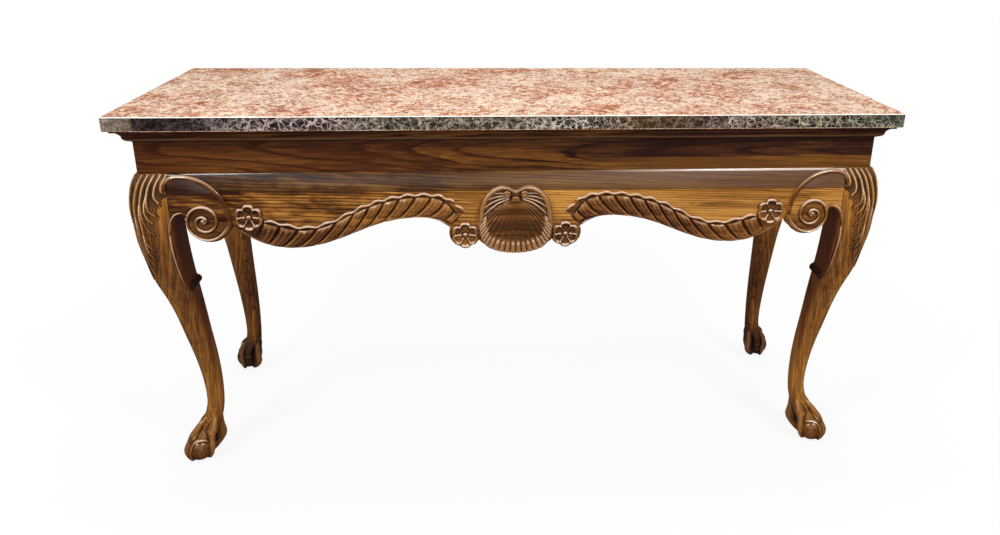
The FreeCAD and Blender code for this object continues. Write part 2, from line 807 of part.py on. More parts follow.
def footGlides():
    discs = []
    for x in (-1, 1):
        for y in (frontFace + size("ballInset"), backFace - size("ballInset")):
            spot = vec(x * (halfLength - size("ballInset")), y, 0)
            discs.append(limb([spot, spot + vec(0, 0, size("glideHigh"))], [size("glideRadius")] * 2, 16))
    return solidPart("foot_glides", Part.makeCompound(discs))


def blockScrews():
    first = screwShape(screwSpot(), size("screwRadius"), size("screwHead"))
    first.translate(vec(-halfLength, frontFace, 0))
    screws = []
    for screw in (first, first.mirror(*acrossMiddle)):
        screws += [screw, screw.mirror(*frontToBack)]
    return solidPart("corner_block_screws", Part.makeCompound(screws))


def checked():
    doc.recompute()
    for item in doc.Objects:
        if "Invalid" in item.State or "Error" in item.State:
            raise ValueError(item.Name + " failed: " + str(item.State))
    for item in subParts:
        if item.Shape.isNull() or not item.Shape.isValid():
            raise ValueError(item.Label + " has no valid shape")


marbleTop()
friezeAndCornice()
apronsAndBrackets()
fourCorners("leg_%s", legShape(), cornerNames)
fourCorners("corner_block_%s", blockShape(), cornerNames)
carving()
battens()
slabPads()
footGlides()
blockScrews()
checked()
for item in subParts:
    item.Shape.exportStep("parts/" + item.Label + ".step")
    print("%-28s %10.0f mm3" % (item.Label, item.Shape.Volume))
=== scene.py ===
import math
from functools import partial
import bpy
import numpy as np
from mathutils import Matrix, Vector


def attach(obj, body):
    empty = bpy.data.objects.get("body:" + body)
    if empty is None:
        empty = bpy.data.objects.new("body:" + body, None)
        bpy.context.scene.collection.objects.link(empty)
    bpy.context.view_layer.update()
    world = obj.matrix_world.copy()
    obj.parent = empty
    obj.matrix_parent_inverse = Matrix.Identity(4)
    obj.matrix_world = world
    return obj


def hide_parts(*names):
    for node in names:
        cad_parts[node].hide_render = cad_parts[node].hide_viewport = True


# Pier table: marble slab on a carved oak frame. Sizes here are in millimetres, meshes in metres.

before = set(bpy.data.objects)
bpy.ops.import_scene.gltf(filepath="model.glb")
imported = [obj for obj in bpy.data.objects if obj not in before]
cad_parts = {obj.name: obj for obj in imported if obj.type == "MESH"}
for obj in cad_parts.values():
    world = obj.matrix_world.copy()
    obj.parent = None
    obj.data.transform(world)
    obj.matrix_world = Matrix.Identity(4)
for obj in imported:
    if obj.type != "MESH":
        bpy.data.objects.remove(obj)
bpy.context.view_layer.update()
bpy.ops.object.select_all(action="DESELECT")
mm = 0.001

table = {
    "endFace": 785,        # frieze end faces, either side of the middle
    "frontFace": -230,     # frieze face
    "backFace": 247,
    "kneeTop": 730,
    "corniceFoot": 800,
    "legInner": 62,        # inner faces of the leg head, from the frieze faces
    "apronReach": 16,
    "kneeReach": 20.5,
    "apronInner": 10,      # back of the apron boards behind the frieze face
    "shoulder": 13.5,      # how far the rounded top edge stands back
    "shoulderDrop": 40,
}
table["middleY"] = (table["frontFace"] + table["backFace"]) / 2
table["halfApron"] = table["endFace"] - table["legInner"]


class Sock:
    # an output of a shader node that can be added, multiplied and so on
    def __init__(self, paint, link):
        self.paint = paint
        self.link = link

    def math(self, operation, *others):
        return self.paint.node("Math", {"operation": operation}, [self, *others])

    def __add__(self, other): return self.math("ADD", other)
    def __radd__(self, other): return self.math("ADD", other)
    def __mul__(self, other): return self.math("MULTIPLY", other)
    def __sub__(self, other): return self.math("SUBTRACT", other)
    def __rsub__(self, other): return self.paint.node("Math", {"operation": "SUBTRACT"}, [other, self])
    def __truediv__(self, other): return self.math("DIVIDE", other)

    def clamp(self, low=0.0, high=1.0):
        return self.paint.node("Clamp", {}, [self, low, high])

    def smooth(self, low, high):
        return self.paint.node("MapRange", {"interpolation_type": "SMOOTHSTEP"}, [self, low, high])


class Paint:
    # a shader tree that grows: every node gives back one of its outputs
    def __init__(self, tree):
        self.tree = tree

    def give(self, socket, value):
        if isinstance(value, Sock):
            self.tree.links.new(value.link, socket)
        else:
            socket.default_value = value

    def node(self, kind, settings, sockets, output=0):
        # settings first, then the values or links of its sockets
        node = self.tree.nodes.new("ShaderNode" + kind)
        for key, value in settings.items():
            setattr(node, key, value)
        for key, value in sockets.items() if isinstance(sockets, dict) else enumerate(sockets):
            self.give(node.inputs[key], value)
        return Sock(self, node.outputs[output])

    def place(self):
        return self.node("TexCoord", {}, {}, "Object")

    def normal(self):
        return self.node("NewGeometry", {}, {}, "Normal")

    def parts(self, vector):
        node = self.tree.nodes.new("ShaderNodeSeparateXYZ")
        self.give(node.inputs[0], vector)
        return [Sock(self, output) for output in node.outputs]

    def noise(self, vector, scale, detail=2.0, rough=0.5, output=0):
        sockets = {"Vector": vector, "Scale": scale, "Detail": detail, "Roughness": rough}
        return self.node("TexNoise", {}, sockets, output)

    def ramp(self, share, stops, linear=False):
        # stops: (place, three display levels), or linear ones
        colour = self.node("ValToRGB", {}, [share])
        elements = colour.link.node.color_ramp.elements
        while len(elements) < len(stops):
            elements.new(0.5)
        for element, (spot, *levels) in zip(elements, stops):
            element.position = spot
            element.color = (*(levels if linear else rgb(*levels)), 1)
        return colour

    def blend(self, share, low, high):
        low, high = ((*side, 1) if isinstance(side, tuple) else side for side in (low, high))
        return self.node("Mix", {"data_type": "RGBA"}, {0: share, 6: low, 7: high}, 2)

    def bump(self, strength, distance, height):
        return self.node("Bump", {}, {"Strength": strength, "Distance": distance, "Height": height})


class Finish(Paint):
    # a material; feed gives values or links to its surface
    def __init__(self, name, coat=0.0):
        self.material = bpy.data.materials.new(name)
        self.material.use_nodes = True
        super().__init__(self.material.node_tree)
        self.surface = self.tree.nodes["Principled BSDF"]
        self.feed(Coat_Weight=coat)

    def feed(self, **inputs):
        for key, value in inputs.items():
            self.give(self.surface.inputs[key.replace("_", " ")], value)
        return self.material


def rgb(*levels):
    # display levels 0..255 to linear
    return tuple(l / 255 / 12.92 if l < 10.3 else ((l / 255 + 0.055) / 1.055) ** 2.4 for l in levels)


oakLook = {
    "ramp": [(0.0, 26, 10, 2), (0.25, 62, 31, 7), (0.5, 112, 66, 18), (0.75, 164, 106, 36),
             (1.0, 206, 146, 64)],
    "red": rgb(70, 24, 12),
    # painted shade in hollows and on undersides
    "paintedShade": rgb(18, 7, 2),
    "shade": rgb(70, 20, 6),
    # darker colour towards the floor at the feet
    "footDark": rgb(50, 26, 24),
    # painted highlights on crests, soft and bright
    "softHighlight": rgb(190, 132, 74),
    "brightHighlight": rgb(238, 212, 188),
    "lineDepth": 0.52,      # how dark the line between two growth rings is
    "coat": 0.75,
}


def oakFinish(name, grain, pith, tilt, pitch, tone=0.0, seed=0.0, redness=0.3, mirrored=(), lightSlope=0.0,
              wild=1.0, figured=1.0, flame=0.0, shaded=0.0, shadeFrom=0.6, lightRight=0.0, footDarkening=0.0, bands=()):
    # grain: 0, 1 or 2, the axis that the fibres run along
    # pith: where the heart of the log passes, tilt: how it leans, both on the two other axes in order
    # pitch: ring width, mm; mirrored: which of the two axes are mirrored
    # wild: how much the grain wanders
    # tone: how much lighter it is; lightSlope, lightRight: painted light, how much lighter it gets per metre
    # to the right, and is on the right half
    # figured: how strongly the growth lines show; flame: mottling towards the left end
    # shaded: how dark the faces turned to the middle are, from the slant shadeFrom on
    # footDarkening: how much darker the foot gets towards the floor; redness: how red the dark patches are
    # bands: (foot, top, colour, share, from x, to x), colour laid between two heights, coming in along x; on
    # the aprons' shoulder and on the cornice they are painted light
    look = oakLook
    finish = Finish(name, look["coat"])
    axes = finish.parts(finish.place())
    along, first, second = (axes[(grain + step) % 3] for step in range(3))
    sideways, upwards = axes[0], axes[2]
    if 0 in mirrored:
        first = first.math("ABSOLUTE")
    if 1 in mirrored:
        second = second.math("ABSOLUTE")

    def stretched(share, scale, detail, rough=0.5):
        # noise drawn out along the fibres
        vector = finish.node("CombineXYZ", {}, [run * share, first, second])
        return finish.noise(vector, scale, detail, rough)

    run = along + seed
    bend = stretched(0.30, 6.0, 1.0) - 0.5
    waver = stretched(0.16, 26.0, 2.0) - 0.5
    # the two axes across the grain, bent so that rings and fibres wander together
    first, second = (axis + along * slope + bend * (reach * wild) + waver * (0.010 * wild)
                     for axis, slope, reach in ((first, tilt[0], 0.030), (second, tilt[1], 0.022)))
    across, deep = first - pith[0], second - pith[1]
    rings = (across * across + deep * deep).math("SQRT") * (1000 / pitch)
    count = rings.math("FLOOR")
    part = rings - count
    lucky = finish.node("TexWhiteNoise", {"noise_dimensions": "1D"}, {"W": count + seed})
    line = (1 - part.smooth(0.0, 0.22)) + part.smooth(0.90, 1.0)
    fibre = stretched(0.025, 460.0, 3.0, 0.62)
    streak = stretched(0.016, 150.0, 2.0)
    poreMask = stretched(0.035, 900.0, 1.0).smooth(0.58, 0.70)
    broad = stretched(0.45, 5.0, 2.0)
    bunch = stretched(0.30, 17.0, 1.0).smooth(0.25, 0.52)
    lines = line * (lucky * 0.6 + 0.4) * bunch * (look["lineDepth"] * figured)
    figure = (0.52 + tone + sideways * lightSlope + sideways.smooth(-0.2, 0.1) * lightRight
              + (fibre.smooth(0.3, 0.7) - 0.5) * 0.20
              + (streak.smooth(0.32, 0.68) - 0.5) * (0.24 * (0.4 + 0.6 * figured))
              + (broad.smooth(0.3, 0.7) - 0.5) * 0.26
              + (lucky - 0.5) * 0.16 + part * 0.08 - lines - poreMask * 0.10).clamp()
    if flame:
        patchy = finish.node("CombineXYZ", {}, [run * 0.30, first, second + run * 0.05])
        mottle = finish.noise(patchy, 58.0, 4.0, 0.62).smooth(0.36, 0.62) - 0.5
        figure = (figure + mottle * (1 - sideways.smooth(-0.52, 0.05)) * flame).clamp()
    wood = finish.ramp(figure, look["ramp"])
    wood = finish.blend(broad.smooth(0.58, 0.36) * redness, wood, look["red"])
    blur = 0.0004
    for foot, top, colour, share, fromX, toX in bands:
        within = upwards.smooth(foot - blur, foot + blur) * (1 - upwards.smooth(top - blur, top + blur))
        wood = finish.blend(within * sideways.smooth(fromX, toX) * share, wood, colour)
    if shaded:
        slant = finish.parts(finish.normal())[0]
        inward = (slant * (sideways * -8).clamp(-1.0, 1.0)).smooth(shadeFrom, shadeFrom + 0.32)
        wood = finish.blend(inward * (upwards.smooth(0.44, 0.475) * 0.6 + 0.4) * shaded, wood, look["shade"])
    # darker towards the floor at the foot
    if footDarkening:
        wood = finish.blend((1 - upwards.smooth(0.07, 0.15)) * footDarkening, wood, look["footDark"])
    # painted light from the relief attribute: painted shade in hollows and on undersides, painted highlights
    # on crests
    relief = finish.node("Attribute", {"attribute_name": "relief"}, {}, "Fac")
    hollow = (relief * -1).smooth(0.04, 0.8)
    wood = finish.blend(hollow * 0.9, wood, look["paintedShade"])
    wood = finish.blend(relief.smooth(0.06, 0.55) * 0.40, wood, look["softHighlight"])
    wood = finish.blend(relief.smooth(0.48, 1.0) * 0.80, wood, look["brightHighlight"])
    return finish.feed(
        Base_Color=wood, Roughness=0.30 + fibre * 0.12 + poreMask * 0.2 + hollow * 0.25,
        Normal=finish.bump(0.25, 0.0004, fibre * 0.6 - poreMask - line * 0.5),
        Coat_Roughness=0.13, Specular_IOR_Level=0.22)


marbleLook = {
    "top": [(0.10, 166, 98, 72), (0.28, 204, 134, 102), (0.44, 224, 164, 132), (0.60, 234, 190, 156),
            (0.80, 251, 226, 200)],
    "cream": rgb(255, 240, 218),
    "rustLine": rgb(132, 72, 54),
    # along the slab from its left end: body and vein colours on the sawn edge
    "edgeBody": [(0.034, 100, 82, 70), (0.037, 22, 11, 12), (0.22, 24, 13, 13), (0.30, 34, 25, 18),
                 (0.50, 42, 33, 23), (0.57, 24, 15, 14), (0.62, 28, 17, 15), (0.655, 62, 42, 26),
                 (0.72, 58, 38, 26), (0.76, 26, 14, 20), (0.88, 30, 22, 18), (0.94, 28, 29, 21),
                 (1.0, 32, 36, 28)],
    "edgeVein": [(0.034, 160, 146, 136), (0.04, 84, 68, 74), (0.10, 96, 82, 86), (0.13, 188, 168, 162),
                 (0.26, 198, 174, 170), (0.34, 182, 168, 148), (0.50, 190, 174, 154),
                 (0.58, 226, 212, 196), (0.66, 176, 142, 98), (0.75, 196, 172, 156),
                 (0.88, 212, 196, 166), (1.0, 172, 174, 152)],
    # red: share of veins, green: share of the fine net
    "edgeNet": [(0.034, 0.95, 0.5, 0), (0.038, 0.35, 0.2, 0), (0.12, 0.55, 0.9, 0), (0.16, 0.95, 0.7, 0),
                (0.20, 1, 0.15, 0), (0.28, 1, 0.15, 0), (0.33, 0.95, 0.8, 0), (0.50, 0.9, 0.8, 0),
                (0.56, 1, 0.3, 0), (0.635, 0.8, 0.4, 0), (0.66, 0.35, 0.0, 0), (0.73, 0.35, 0.1, 0),
                (0.77, 0.95, 0.6, 0), (0.90, 0.8, 0.5, 0), (1.0, 0.65, 0.4, 0)],
    "edgeLump": rgb(92, 76, 64),
    "edgeSpeck": rgb(160, 144, 132),
    "edgeTop": rgb(14, 8, 8),
    "arris": rgb(255, 250, 244),
    "slabLength": 1.65,
}


def marbleFinish(name):
    look = marbleLook
    finish = Finish(name, 0.25)
    place = finish.place()

    def noise(vector, scale, detail=2.0, output=0):
        return finish.noise(vector, scale, detail, 0.6, output)

    def swirled(scale, amount):
        push = noise(place, scale, 3.0, 1)
        centred = finish.node("VectorMath", {"operation": "SUBTRACT"}, [push, (0.5, 0.5, 0.5)])
        scaled = finish.node("VectorMath", {"operation": "SCALE"}, {0: centred, 3: amount})
        return finish.node("VectorMath", {"operation": "ADD"}, [place, scaled])

    def voronoi(feature, vector, scale, output):
        return finish.node("TexVoronoi", {"feature": feature}, {"Vector": vector, "Scale": scale}, output)

    def net(vector, scale, wide):
        return 1 - voronoi("DISTANCE_TO_EDGE", vector, scale, 0).smooth(0.0, wide)

    def cells(vector, scale):
        return finish.parts(voronoi("F1", vector, scale, 1))[0]

    sideways, _, upwards = finish.parts(place)
    warped, fine, sharp = swirled(11.0, 0.06), swirled(60.0, 0.012), swirled(150.0, 0.006)
    clouds = noise(warped, 7.0, 4.0)
    grit = noise(fine, 90.0, 3.0)
    specks = noise(sharp, 260.0)
    # polished face: rust and peach lumps in a cream net
    leftish = 1 - sideways.smooth(-0.62, -0.1)
    tone = (clouds * 0.9 - 0.04 + (cells(fine, 46.0) - 0.5) * 0.44 + (cells(sharp, 120.0) - 0.5) * 0.74
            + (grit.smooth(0.3, 0.7) - 0.5) * 0.46 + (specks.smooth(0.3, 0.7) - 0.5) * 0.66
            - leftish * 0.06).clamp()
    body = finish.ramp(tone, look["top"])
    creamNet = (net(swirled(30.0, 0.05), 26.0, 0.07) * 0.9 + net(sharp, 80.0, 0.13) * 0.9).clamp()
    body = finish.blend(creamNet * noise(place, 9.0).smooth(0.35, 0.6) * 0.85, body, look["cream"])
    rustNet = net(sharp, 58.0, 0.09) * noise(warped, 24.0).smooth(0.50, 0.64)
    body = finish.blend(rustNet * 0.5, body, look["rustLine"])
    # sawn edge: dark lumps in a net of pale veins
    reach = (sideways + (clouds - 0.5) * 0.014) / look["slabLength"] + 0.5
    share, thin = finish.parts(finish.ramp(reach, look["edgeNet"], True))[:2]
    lump, vein = finish.ramp(reach, look["edgeBody"]), finish.ramp(reach, look["edgeVein"])
    drawn = finish.node("Mapping", {}, {"Vector": sharp, "Scale": (18.0, 60.0, 160.0)})
    lump = finish.blend(noise(drawn, 1.0, 3.0).smooth(0.52, 0.72) * 0.18, lump, vein)
    lump = finish.blend((cells(sharp, 84.0) - 0.70).clamp() * 1.6, lump, look["edgeLump"])
    torn = swirled(52.0, 0.034)
    coarse = (net(torn, 62.0, 0.10) * 1.3).clamp()
    patches = noise(fine, 34.0).smooth(0.42, 0.58)
    small = (net(torn, 120.0, 0.16) * 1.3).clamp() * (patches * 0.85 + 0.15)
    veins = coarse * (1 - thin) + (small * 0.75 + coarse * 0.55).clamp() * thin
    veins = veins * share * (0.40 + noise(fine, 52.0).smooth(0.36, 0.60) * 0.65)
    veins = (veins + net(warped, 21.0, 0.03) * 0.8 * (1 - thin) * share).clamp()
    edge = finish.blend(veins, lump, vein)
    edge = finish.blend((specks - 0.56).clamp() * 0.9, edge, look["edgeSpeck"])
    edge = finish.blend(upwards.smooth(0.856, 0.8585) * 0.7, edge, look["edgeTop"])
    outwards = finish.parts(finish.normal())[2]
    colour = finish.blend(outwards.math("ABSOLUTE").smooth(0.35, 0.6), edge, body)
    # painted highlight along the arris, where the edge turns to the top
    arris = outwards.smooth(0.4, 0.6) * (1 - outwards.smooth(0.85, 0.97))
    colour = finish.blend(arris * 0.85, colour, look["arris"])
    return finish.feed(Base_Color=colour, Roughness=0.14 + grit * 0.10 + veins * 0.05,
                       Normal=finish.bump(0.06, 0.0005, grit), Coat_Roughness=0.06)


def plainFinish(name, colour, rough, metal=0.0):
    # small hidden parts: base colour broken up by noise
    finish = Finish(name)
    grainy = finish.noise(finish.place(), 60.0, 3.0)
    mottled = finish.blend(grainy, tuple(level * 0.7 for level in colour), colour)
    return finish.feed(Base_Color=mottled, Roughness=grainy * 0.2 + rough, Metallic=metal)


def softwoodFinish(name, grain):
    finish = Finish(name)
    stretch = [60.0, 60.0, 60.0]
    stretch[grain] = 2.5
    drawn = finish.node("Mapping", {}, {"Vector": finish.place(), "Scale": stretch})
    fibres = finish.noise(drawn, 2.0, 4.0, 0.6)
    colour = finish.ramp(fibres, [(0.3, 78, 50, 26), (0.55, 116, 80, 44), (0.75, 138, 100, 60)])
    return finish.feed(Base_Color=colour, Roughness=fibres * 0.2 + 0.5,
                       Normal=finish.bump(0.2, 0.0005, fibres))


everywhere = (-1.2, -1.0)
# aprons: lighter on the right half as painted light; the bands are painted light on the rounded shoulder:
# painted shade over it, a painted grey reflection in its middle, a painted shade line along its lower edge
# and a painted highlight along its top on the right
oakX = oakFinish(
    "oakAlongX", 0, pith=(-0.16, 0.57), tilt=(0.02, 0.05), pitch=4.4, tone=-0.03, seed=0.4, wild=1.9,
    flame=0.34, lightRight=0.36, figured=1.6, bands=[
        (0.6905, 0.731, rgb(42, 22, 15), 0.72, *everywhere),
        (0.6905, 0.731, rgb(134, 102, 82), 0.30, -0.15, 0.5),
        (0.6895, 0.6912, rgb(24, 11, 5), 0.5, *everywhere),
        (0.7262, 0.731, rgb(232, 214, 204), 0.75, 0.12, 0.5)])
oakY = oakFinish("oakAlongY", 1, pith=(0.60, 0.70), tilt=(0.05, 0.08), pitch=6.5, tone=-0.02, seed=3.1,
                 mirrored=(1,))
# legs: a little lighter towards the right as painted light
oakZ = oakFinish("oakAlongZ", 2, pith=(0.70, -0.14), tilt=(0.05, 0.03), pitch=5.5, tone=0.05, seed=1.7,
                 redness=0.2, mirrored=(0,), lightSlope=0.04, wild=0.7, figured=0.45, shaded=0.8, footDarkening=0.2)
# back legs: a darker copy of the legs' oak, painted shade
shadedRearOak = oakFinish("shadedRearOak", 2, pith=(0.70, 0.14), tilt=(0.05, 0.03), pitch=5.5, tone=-0.08, seed=1.7,
                    redness=0.35, mirrored=(0,), figured=0.6, shaded=0.75, shadeFrom=0.3, footDarkening=0.7)
# carvings: a little lighter on the right half as painted light
carvedOak = oakFinish("carvedOak", 0, pith=(-0.17, 0.57), tilt=(0.02, 0.03), pitch=7.5, tone=-0.05, seed=5.3,
                      figured=0.3, lightRight=0.05)
friezeOak = oakFinish(
    "friezeOak", 0, pith=(-0.19, 0.775), tilt=(0.05, 0.012), pitch=8.5, tone=-0.22, seed=8.2, redness=0.45,
    figured=0.8, bands=[
        (0.728, 0.80, rgb(86, 36, 2), 0.36, 0.15, -0.3),
        (0.7585, 0.8, rgb(44, 20, 18), 0.55, 0.05, 0.35),
        (0.73, 0.7575, rgb(136, 86, 26), 0.38, 0.05, 0.35),
        # painted light on the cornice: painted shade lines at its foot, at the step below its fillet and
        # under the slab, and a painted highlight along its round
        (0.7985, 0.8012, rgb(20, 9, 5), 0.7, *everywhere),
        (0.8016, 0.8085, rgb(128, 94, 62), 0.42, *everywhere),
        (0.8235, 0.8255, rgb(20, 9, 5), 0.6, *everywhere),
        (0.828, 0.8305, rgb(14, 6, 4), 0.7, *everywhere)])
marble = marbleFinish("redMarble")
softX = softwoodFinish("softwoodAlongX", 0)
softY = softwoodFinish("softwoodAlongY", 1)
cork = plainFinish("darkCork", rgb(72, 56, 42), 0.8)
glidePlastic = plainFinish("brownGlide", rgb(70, 52, 38), 0.55)
screwSteel = plainFinish("zincSteel", rgb(170, 165, 150), 0.35, metal=1.0)
print("finishes ready")


def smoothRun(points, count, closed=False):
    # natural cubic run through the points, evenly spread by length
    points = np.array(points, float)
    if closed:
        points = np.vstack([points[-4:-1], points, points[1:4]])
    steps = np.linalg.norm(np.diff(points, axis=0), axis=1)
    knots = np.concatenate([[0], np.cumsum(steps)])
    total = len(points)
    system = np.zeros((total, total))
    right = np.zeros(points.shape)
    system[0, 0] = system[-1, -1] = 1
    for i in range(1, total - 1):
        before, after = steps[i - 1], steps[i]
        system[i, i - 1:i + 2] = before, 2 * (before + after), after
        right[i] = 6 * ((points[i + 1] - points[i]) / after - (points[i] - points[i - 1]) / before)
    bend = np.linalg.solve(system, right)
    low, high = (knots[3], knots[-4]) if closed else (0, knots[-1])
    fine = np.linspace(low, high, max(count * 4, 400))
    at = np.clip(np.searchsorted(knots, fine, side="right") - 1, 0, total - 2)
    span = steps[at][:, None]
    a = (knots[at + 1] - fine)[:, None] / span
    b = 1 - a
    run = a * points[at] + b * points[at + 1]
    run = run + ((a ** 3 - a) * bend[at] + (b ** 3 - b) * bend[at + 1]) * span ** 2 / 6
    length = np.concatenate([[0], np.cumsum(np.linalg.norm(np.diff(run, axis=0), axis=1))])
    wanted = np.linspace(0, length[-1], count)
    return np.column_stack([np.interp(wanted, length, run[:, axis]) for axis in range(run.shape[1])])


def circleThrough(a, b, c):
    # centre and radius of the circle through three points
    (ax, ay), (bx, by), (cx, cy) = a, b, c
    first, second, third = (x ** 2 + y ** 2 for x, y in (a, b, c))
    d = 2 * (ax * (by - cy) + bx * (cy - ay) + cx * (ay - by))
    x = (first * (by - cy) + second * (cy - ay) + third * (ay - by)) / d
    y = (first * (cx - bx) + second * (ax - cx) + third * (bx - ax)) / d
    return x, y, math.hypot(ax - x, ay - y)


def arcRun(start, middle, end, count):
    x, y, radius = circleThrough(start, middle, end)
    angles = [math.atan2(py - y, px - x) for px, py in (start, middle, end)]
    turn = (angles[2] - angles[0]) % math.tau
    if (angles[1] - angles[0]) % math.tau > turn:
        turn -= math.tau
    return [(x + radius * math.cos(angles[0] + turn * s), y + radius * math.sin(angles[0] + turn * s))
            for s in np.linspace(0, 1, count)]


def leftOf(line):
    # unit steps to the left of a run in a face
    step = np.gradient(line, axis=0)
    return np.column_stack([-step[:, 1], step[:, 0]]) / np.linalg.norm(step, axis=1)[:, None]


def root(value):
    return np.sqrt(np.maximum(value, 0))


def bell(value, wide):
    return np.exp(-(value / wide) ** 2)


def stepUp(value, low, high):
    share = np.clip((value - low) / (high - low), 0, 1)
    return share * share * (3 - 2 * share)


def newPiece(name, data):
    piece = bpy.data.objects.new(name, data)
    bpy.context.scene.collection.objects.link(piece)
    return piece


def meshPiece(name, points, faces, finish):
    mesh = bpy.data.meshes.new(name)
    mesh.from_pydata([tuple(p) for p in np.asarray(points, float) * mm], [], faces)
    mesh.materials.append(finish)
    return newPiece(name, mesh)


def readOut(items, key, width):
    values = np.empty(len(items) * width)
    items.foreach_get(key, values)
    return values.reshape(-1, width)


def reliefLayer(piece):
    attributes = piece.data.attributes
    return (attributes.get("relief") or attributes.new("relief", "FLOAT", "POINT")).data


def setRelief(piece, values):
    # one value for each vertex of painted light: below 0 painted shade in hollows, above 0 painted highlight
    # on crests
    reliefLayer(piece).foreach_set("value", np.clip(values, -1, 1).astype(np.float32).ravel())


def gridFaces(rows, columns, around):
    faces = []
    for row in range(rows - 1):
        for column in range(columns if around else columns - 1):
            after = (column + 1) % columns
            low, high = row * columns, (row + 1) * columns
            faces.append((low + column, low + after, high + after, high + column))
    return faces


def gridPiece(name, grid, finish, around=False, relief=None):
    # grid: rows x columns x 3, relief: rows x columns; one that runs around gets a face at either end
    rows, columns = grid.shape[:2]
    piece = meshPiece(name, grid.reshape(-1, 3), gridFaces(rows, columns, around), finish)
    if relief is not None:
        setRelief(piece, relief)
    if around:
        edited(piece, closeLoops)
    outward(piece)
    return piece


def only(*pieces):
    bpy.ops.object.select_all(action="DESELECT")
    for piece in pieces:
        piece.select_set(True)
    bpy.context.view_layer.objects.active = pieces[0]


def edited(piece, *steps):
    # takes steps in edit mode, each with the whole mesh selected at first
    only(piece)
    bpy.ops.object.mode_set(mode="EDIT")
    for step in steps:
        bpy.ops.mesh.select_all(action="SELECT")
        step()
    bpy.ops.object.mode_set(mode="OBJECT")


def outward(piece):
    edited(piece, partial(bpy.ops.mesh.normals_make_consistent, inside=False))


def closeLoops():
    # one face in every open edge loop
    bpy.ops.mesh.select_all(action="DESELECT")
    bpy.ops.mesh.select_mode(type="EDGE")
    bpy.ops.mesh.select_non_manifold(extend=False)
    bpy.ops.mesh.edge_face_add()


def softened(piece, degrees=35):
    only(piece)
    bpy.ops.object.shade_smooth_by_angle(angle=math.radians(degrees))


def bevelled(piece, width, segments=2, degrees=40):
    only(piece)
    modifier = piece.modifiers.new("edge", "BEVEL")
    modifier.width = width * mm
    modifier.segments = segments
    modifier.limit_method = "ANGLE"
    modifier.angle_limit = math.radians(degrees)
    bpy.ops.object.modifier_apply(modifier="edge")


def joined(name, pieces):
    only(*pieces)
    bpy.ops.object.join()
    result = pieces[0]
    result.name = result.data.name = name
    softened(result, 60)
    return result


def placed(piece, name, matrix, finish=None):
    # a copy with its own mesh, moved by a matrix whose lengths are millimetres
    mesh = piece.data.copy()
    matrix = Matrix(matrix)
    matrix.translation *= mm
    mesh.transform(matrix)
    if matrix.determinant() < 0:
        mesh.flip_normals()
    if finish:
        mesh.materials[0] = finish
    return newPiece(name, mesh)


def shifted(x, y, z):
    return Matrix.Translation(Vector((x, y, z)))


quarterTurn = Matrix.Rotation(-math.pi / 2, 4, "Z")
flipX = Matrix.Diagonal((-1, 1, 1, 1))
flipY = shifted(0, 2 * table["middleY"], 0) @ Matrix.Diagonal((1, -1, 1, 1))


def settle(piece, slot, *nodes):
    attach(piece, "root")
    if nodes:
        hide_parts(*nodes)


def spread(model, slot, *copies):
    # copies: (name, matrix, replaced nodes, finish if it differs); the model itself goes
    for name, matrix, nodes, *finish in copies:
        settle(placed(model, name, matrix, *finish), slot, *nodes)
    bpy.data.objects.remove(model)


def rod(name, points, radii, finish, sides=10):
    # round bead along points, as thick as radii say from end to end
    curve = bpy.data.curves.new(name, "CURVE")
    curve.dimensions = "3D"
    curve.bevel_depth = mm
    curve.bevel_resolution = max(1, sides // 4)
    curve.use_fill_caps = True
    spline = curve.splines.new("POLY")
    spline.points.add(len(points) - 1)
    girth = np.interp(np.linspace(0, 1, len(points)), np.linspace(0, 1, len(radii)), radii)
    for point, place, radius in zip(spline.points, points, girth):
        point.co = (*(Vector(place) * mm), 1)
        point.radius = radius
    only(newPiece(name, curve))
    bpy.ops.object.convert(target="MESH")
    piece = bpy.context.view_layer.objects.active
    piece.data.materials.clear()
    piece.data.materials.append(finish)
    return piece


def blurred(field, reach, around=True):
    # mean over a window, wrapping along the second axis where the grid is closed
    rows, columns = (np.arange(size)[:, None] + np.arange(-reach, reach + 1) for size in field.shape)
    columns = columns % field.shape[1] if around else np.clip(columns, 0, field.shape[1] - 1)
    return field[:, columns].mean(axis=2)[np.clip(rows, 0, field.shape[0] - 1)].mean(axis=1)


def standBack(drop):
    # how far an apron's or knee's face stands back at a drop below its top edge
    shoulder, foot = table["shoulder"], table["shoulderDrop"]
    x, y, radius = circleThrough((shoulder, 0), (0.51 * shoulder, 0.33 * foot), (0, foot))
    drop = np.clip(drop, 0, foot)
    return np.maximum(x - root(radius ** 2 - (drop - y) ** 2), 0)


def bowedBoard(name, outline, reach, finish, edge=1.2):
    # board with a rounded top edge that looks to -Y
    # outline: (x, height from the foot of the frieze), all round
    outline = np.array(outline, float)
    count = len(outline)
    front = np.column_stack([outline[:, 0], np.full(count, -float(reach)), outline[:, 1]])
    back = front + (0, reach + table["apronInner"], 0)
    faces = [tuple(range(count)), tuple(range(2 * count - 1, count - 1, -1))]
    faces += [(i, i + count, (i + 1) % count + count, (i + 1) % count) for i in range(count)]
    piece = meshPiece(name, np.vstack([front, back]), faces, finish)
    outward(piece)
    bevelled(piece, edge)
    # cuts that let the rounding of the top edge bend the face
    edited(piece, *[partial(bpy.ops.mesh.bisect, plane_co=(0, 0, -drop * mm), plane_no=(0, 0, 1))
                    for drop in (2, 5, 8, 11, 14, 18, 22, 27, 33, 40)])
    places = readOut(piece.data.vertices, "co", 3)
    fore = np.clip(-places[:, 1] / (reach * mm), 0, 1)
    places[:, 1] += fore * standBack(-places[:, 2] / mm) * mm
    piece.data.vertices.foreach_set("co", places.ravel())
    piece.data.update()
    softened(piece, 30)
    return piece


